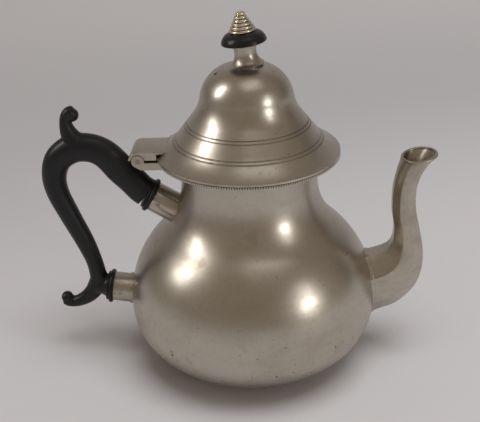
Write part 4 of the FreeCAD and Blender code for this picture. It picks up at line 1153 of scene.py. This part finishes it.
TAIL = (
    (-83.4, 47.0, 4.4, 4.3), (-85.0, 41.6, 4.8, 4.3), (-88.2, 36.8, 4.4, 4.0), (-92.6, 33.4, 3.7, 3.7),
    (-97.2, 31.6, 3.1, 3.4), (-101.0, 31.4, 2.7, 3.3), (-103.6, 32.8, 2.5, 3.2),
)
# short limb from the tail scroll to the lower socket
LINK = (
    (-84.4, 42.2, 5.0, 5.0), (-81.2, 41.8, 5.3, 5.3), (-79.3, 41.5, 6.3, 6.3), (-77.6, 41.25, 7.9, 7.9),
)
# the grip's depth and width that its stations are drawn for
DRAWN_DEPTH, DRAWN_WIDTH = 15.0 * MM, 13.0 * MM
# the scrolls' rounded ends: name, x, z and radius in millimetres, and stretch across
BALLS = (("Thumb_Ball", -87.6, 139.4, 3.5, 1.03), ("Tail_Ball", -102.0, 34.2, 3.3, 1.05))


def collar_outline(sizes):
    """Turned bead with a fine groove behind it, drawn up its own axis."""
    wide, thick = sizes.collar_radius, sizes.collar_thickness
    rounding = thick * 0.42
    outline = [(0.0, 0.0), (wide - rounding, 0.0)]
    outline += arc((wide - rounding, rounding), rounding, -math.pi / 2, 0.0, 7)
    outline += arc((wide - rounding, thick - rounding), rounding, 0.0, math.pi / 2, 7)
    outline += [(wide - 1.35 * MM, thick + 0.02 * MM), (wide - 1.4 * MM, thick + 0.35 * MM)]
    outline += arc((wide - 1.6 * MM, thick + 0.8 * MM), 0.45 * MM, -math.pi / 3, math.pi / 2, 6)
    outline.append((0.0, thick + 1.25 * MM))
    return outline


class TEAPOT_OT_handle(bpy.types.Operator):
    """Carve the arched grip with its two scrolls and turn the collars at its ends"""
    bl_idname = "teapot.handle"
    bl_label = "Handle"

    def execute(self, context):
        sizes = context.scene.teapot_handle
        thick, wide = sizes.grip_depth / DRAWN_DEPTH, sizes.grip_width / DRAWN_WIDTH
        grip = [(x, z, depth * thick, width * wide) for x, z, depth, width in GRIP]
        parts = [limb("Grip", grip), limb("Thumb_Scroll", THUMB), limb("Tail_Scroll", TAIL),
                 limb("Link", LINK)]
        carved = join_meshes("Carved", parts + [ball(*row) for row in BALLS])
        melt = carved.modifiers.new("Melt", "REMESH")
        melt.mode = "VOXEL"
        melt.voxel_size = sizes.voxel
        soften = carved.modifiers.new("Soften", "SMOOTH")
        soften.factor = 0.5
        soften.iterations = 7
        settle(carved, 75.0)

        collars = []
        for across, up, slope in (UPPER_END, LOWER_END):
            collar = settle(turned("Collar", collar_outline(sizes), 96), 35.0)
            angle = math.radians(slope)
            away = Vector((-math.cos(angle), 0, math.sin(angle)))
            tilt = Vector((0, 0, 1)).rotation_difference(away).to_matrix().to_4x4()
            collar.data.transform(Matrix.Translation((across * MM, 0, up * MM)) @ tilt)
            collars.append(collar)
        handle = join_meshes("Handle", [carved, *collars])
        finish_piece(handle, "pot", "black_handle", black_lacquer("Black Handle"), "handle")
        return {"FINISHED"}


# ------------------------------------------------------------------ fittings

def refined(node, name, rounding):
    """Copy of a CAD node with its doubles merged and its edges softly rounded."""
    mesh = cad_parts[node].data.copy()
    mesh.name = name
    piece = placed(name, mesh)
    work = bmesh.new()
    work.from_mesh(mesh)
    bmesh.ops.remove_doubles(work, verts=work.verts, dist=0.01 * MM)
    bmesh.ops.dissolve_limit(work, angle_limit=math.radians(1.5), verts=work.verts, edges=work.edges)
    work.to_mesh(mesh)
    work.free()
    soft = piece.modifiers.new("Rounding", "BEVEL")
    soft.width = rounding
    soft.segments = 3
    soft.limit_method = "ANGLE"
    soft.angle_limit = math.radians(40)
    return settle(piece, 35.0)


class TEAPOT_OT_fittings(bpy.types.Operator):
    """Soften and finish the handle's sockets, the hinge leaves and the pins"""
    bl_idname = "teapot.fittings"
    bl_label = "Sockets and Hinge"

    def execute(self, context):
        cast = pewter("Cast Pewter Fittings", spun=False, tarnish=0.7, dents=0.6)
        solder = pewter("Pewter Socket Band", spun=False, tarnish=1.0)
        leaf = pewter("Hinge Leaf Pewter", spun=False, tarnish=0.6, dents=0.4)
        steel = dull_steel("Steel Pins")
        made = (
            ("upper_socket", "Upper_Socket", 0.22 * MM, "pot", "pewter_fittings", cast),
            ("lower_socket", "Lower_Socket", 0.22 * MM, "pot", "pewter_fittings", cast),
            ("lower_socket_band", "Lower_Socket_Band", 0.12 * MM, "pot", "pewter_fittings", solder),
            ("hinge_pot_leaf", "Hinge_Pot_Leaf", 0.2 * MM, "pot", "pewter_fittings", leaf),
            ("hinge_lid_leaf", "Hinge_Lid_Leaf", 0.3 * MM, "lid", "pewter_fittings", leaf),
            ("hinge_pin", "Hinge_Pin", 0.15 * MM, "pot", "steel_pins", steel),
        )
        for node, name, rounding, body, slot, material in made:
            finish_piece(refined(node, name, rounding), body, slot, material, node)
        for node in ("handle_pins", "finial_stud"):
            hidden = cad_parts[node]
            hidden.data.materials.clear()
            hidden.data.materials.append(steel)
        return {"FINISHED"}


# ------------------------------------------------------------------ stage

WHITE = (1.0, 1.0, 1.0)
# name, azimuth and elevation in degrees, distance, width and height in metres, power in watts, tint
LIGHTS = (
    ("Left Softbox", -171, 36, 0.95, 0.05, 0.44, 2.1, WHITE),
    ("Right Window", -34, 25, 1.2, 0.08, 0.16, 0.35, WHITE),
    ("Low Lamp", -37, 12, 1.2, 0.12, 0.12, 1.5, WHITE),
    ("Floor Fill", -50, 76, 2.8, 1.8, 1.8, 50.0, (0.955, 0.98, 1.0)),
    ("Dim Overhead", -60, 72, 1.2, 0.8, 0.6, 0.9, WHITE),
)


def soft_light(name, azimuth, elevation, distance, width, height, power, tint):
    """Area light aimed at the pot; azimuth 0 is to the spout's side, -90 to the camera's."""
    lamp = bpy.data.lights.new(name, "AREA")
    lamp.shape = "RECTANGLE"
    lamp.size = width
    lamp.size_y = height
    lamp.energy = power
    lamp.color = tint
    light = placed(name, lamp)
    turn, rise = math.radians(azimuth), math.radians(elevation)
    way = Vector((math.cos(turn) * math.cos(rise), math.sin(turn) * math.cos(rise), math.sin(rise)))
    centre = Vector((0, 0, 80 * MM))
    light.location = centre + way * distance
    light.rotation_euler = (-way).to_track_quat("-Z", "Y").to_euler()
    return light


def backdrop():
    """Floor that bends up into a wall behind the pot."""
    near, bend, radius, top, half_width, steps = -9.0, 1.1, 0.7, 3.0, 9.0, 12
    rows = [(near, 0.0), (bend, 0.0)]
    for step in range(1, steps + 1):
        turn = step * math.pi / (2 * steps)
        rows.append((bend + radius * math.sin(turn), radius - radius * math.cos(turn)))
    rows.append((bend + radius, top))
    points = [(across, along, up) for along, up in rows for across in (-half_width, half_width)]
    faces = [(2 * row, 2 * row + 1, 2 * row + 3, 2 * row + 2) for row in range(len(rows) - 1)]
    sheet = new_piece("Backdrop", points, faces)
    for face in sheet.data.polygons:
        face.use_smooth = True
    sheet.data.materials.append(backdrop_finish())
    return sheet


def room(sizes):
    """Even warm light from all round."""
    world = bpy.data.worlds.new("Soft Room")
    world.use_nodes = True
    sky = world.node_tree.nodes["Background"]
    sky.inputs["Color"].default_value = (*sizes.room_colour, 1.0)
    sky.inputs["Strength"].default_value = sizes.room_strength
    return world


def aimed_camera(sizes):
    """Camera above the front of the pot, looking a little down."""
    turn = sizes.azimuth
    place = Vector((sizes.distance * math.sin(turn), -sizes.distance * math.cos(turn), sizes.height))
    aim = Vector((-sizes.aim_side * math.cos(turn), -sizes.aim_side * math.sin(turn), sizes.aim_height))
    lens = bpy.data.cameras.new("Camera")
    lens.lens = sizes.lens
    lens.sensor_width = 36.0
    camera = placed("Camera", lens)
    look = (aim - place).to_track_quat("-Z", "Y").to_matrix().to_4x4()
    camera.matrix_world = Matrix.Translation(place) @ look @ Matrix.Rotation(sizes.roll, 4, "Z")
    return camera


class TEAPOT_OT_stage(bpy.types.Operator):
    """Lay the pale floor and set the soft lights and the camera"""
    bl_idname = "teapot.stage"
    bl_label = "Stage"

    def execute(self, context):
        sizes = context.scene.teapot_stage
        backdrop()
        context.scene.world = room(sizes)
        lights = {row[0]: soft_light(*row) for row in LIGHTS}
        lights["Left Softbox"].visible_diffuse = False
        lights["Floor Fill"].visible_glossy = False
        context.scene.camera = aimed_camera(sizes)
        context.scene.view_settings.view_transform = "Standard"
        return {"FINISHED"}


# ------------------------------------------------------------------ panel and run

GROUPS = (
    ("teapot_pot", TeapotPotSizes, "Pot and rim"),
    ("teapot_lid", TeapotLidSizes, "Lid"),
    ("teapot_finial", TeapotFinialSizes, "Finial"),
    ("teapot_spout", TeapotSpoutSizes, "Spout"),
    ("teapot_handle", TeapotHandleSizes, "Handle"),
    ("teapot_finish", TeapotFinish, "Finishes"),
    ("teapot_stage", TeapotStageSizes, "Stage"),
)


class TEAPOT_PT_sidebar(bpy.types.Panel):
    """Lists the teapot's sizes, colours and steps"""
    bl_idname = "TEAPOT_PT_sidebar"
    bl_label = "Pewter Teapot"
    bl_space_type = "VIEW_3D"
    bl_region_type = "UI"
    bl_category = "Teapot"

    def draw(self, context):
        layout = self.layout
        for step in STEPS:
            layout.operator(step.bl_idname)
        for name, group, title in GROUPS:
            box = layout.box()
            box.label(text=title)
            sizes = getattr(context.scene, name)
            for field in group.__annotations__:
                box.prop(sizes, field)


STEPS = (
    TEAPOT_OT_pot, TEAPOT_OT_rim, TEAPOT_OT_lid, TEAPOT_OT_finial,
    TEAPOT_OT_spout, TEAPOT_OT_handle, TEAPOT_OT_fittings, TEAPOT_OT_stage,
)


def register():
    for _, group, _ in GROUPS:
        bpy.utils.register_class(group)
    for name, group, _ in GROUPS:
        setattr(bpy.types.Scene, name, PointerProperty(type=group))
    for step in STEPS:
        bpy.utils.register_class(step)
    bpy.utils.register_class(TEAPOT_PT_sidebar)


def unregister():
    bpy.utils.unregister_class(TEAPOT_PT_sidebar)
    for step in reversed(STEPS):
        bpy.utils.unregister_class(step)
    for name, group, _ in reversed(GROUPS):
        delattr(bpy.types.Scene, name)
        bpy.utils.unregister_class(group)


def main():
    register()
    bpy.ops.teapot.pot()
    bpy.ops.teapot.rim()
    bpy.ops.teapot.lid()
    bpy.ops.teapot.finial()
    bpy.ops.teapot.spout()
    bpy.ops.teapot.handle()
    bpy.ops.teapot.fittings()
    bpy.ops.teapot.stage()


if __name__ == "__main__":
    main()
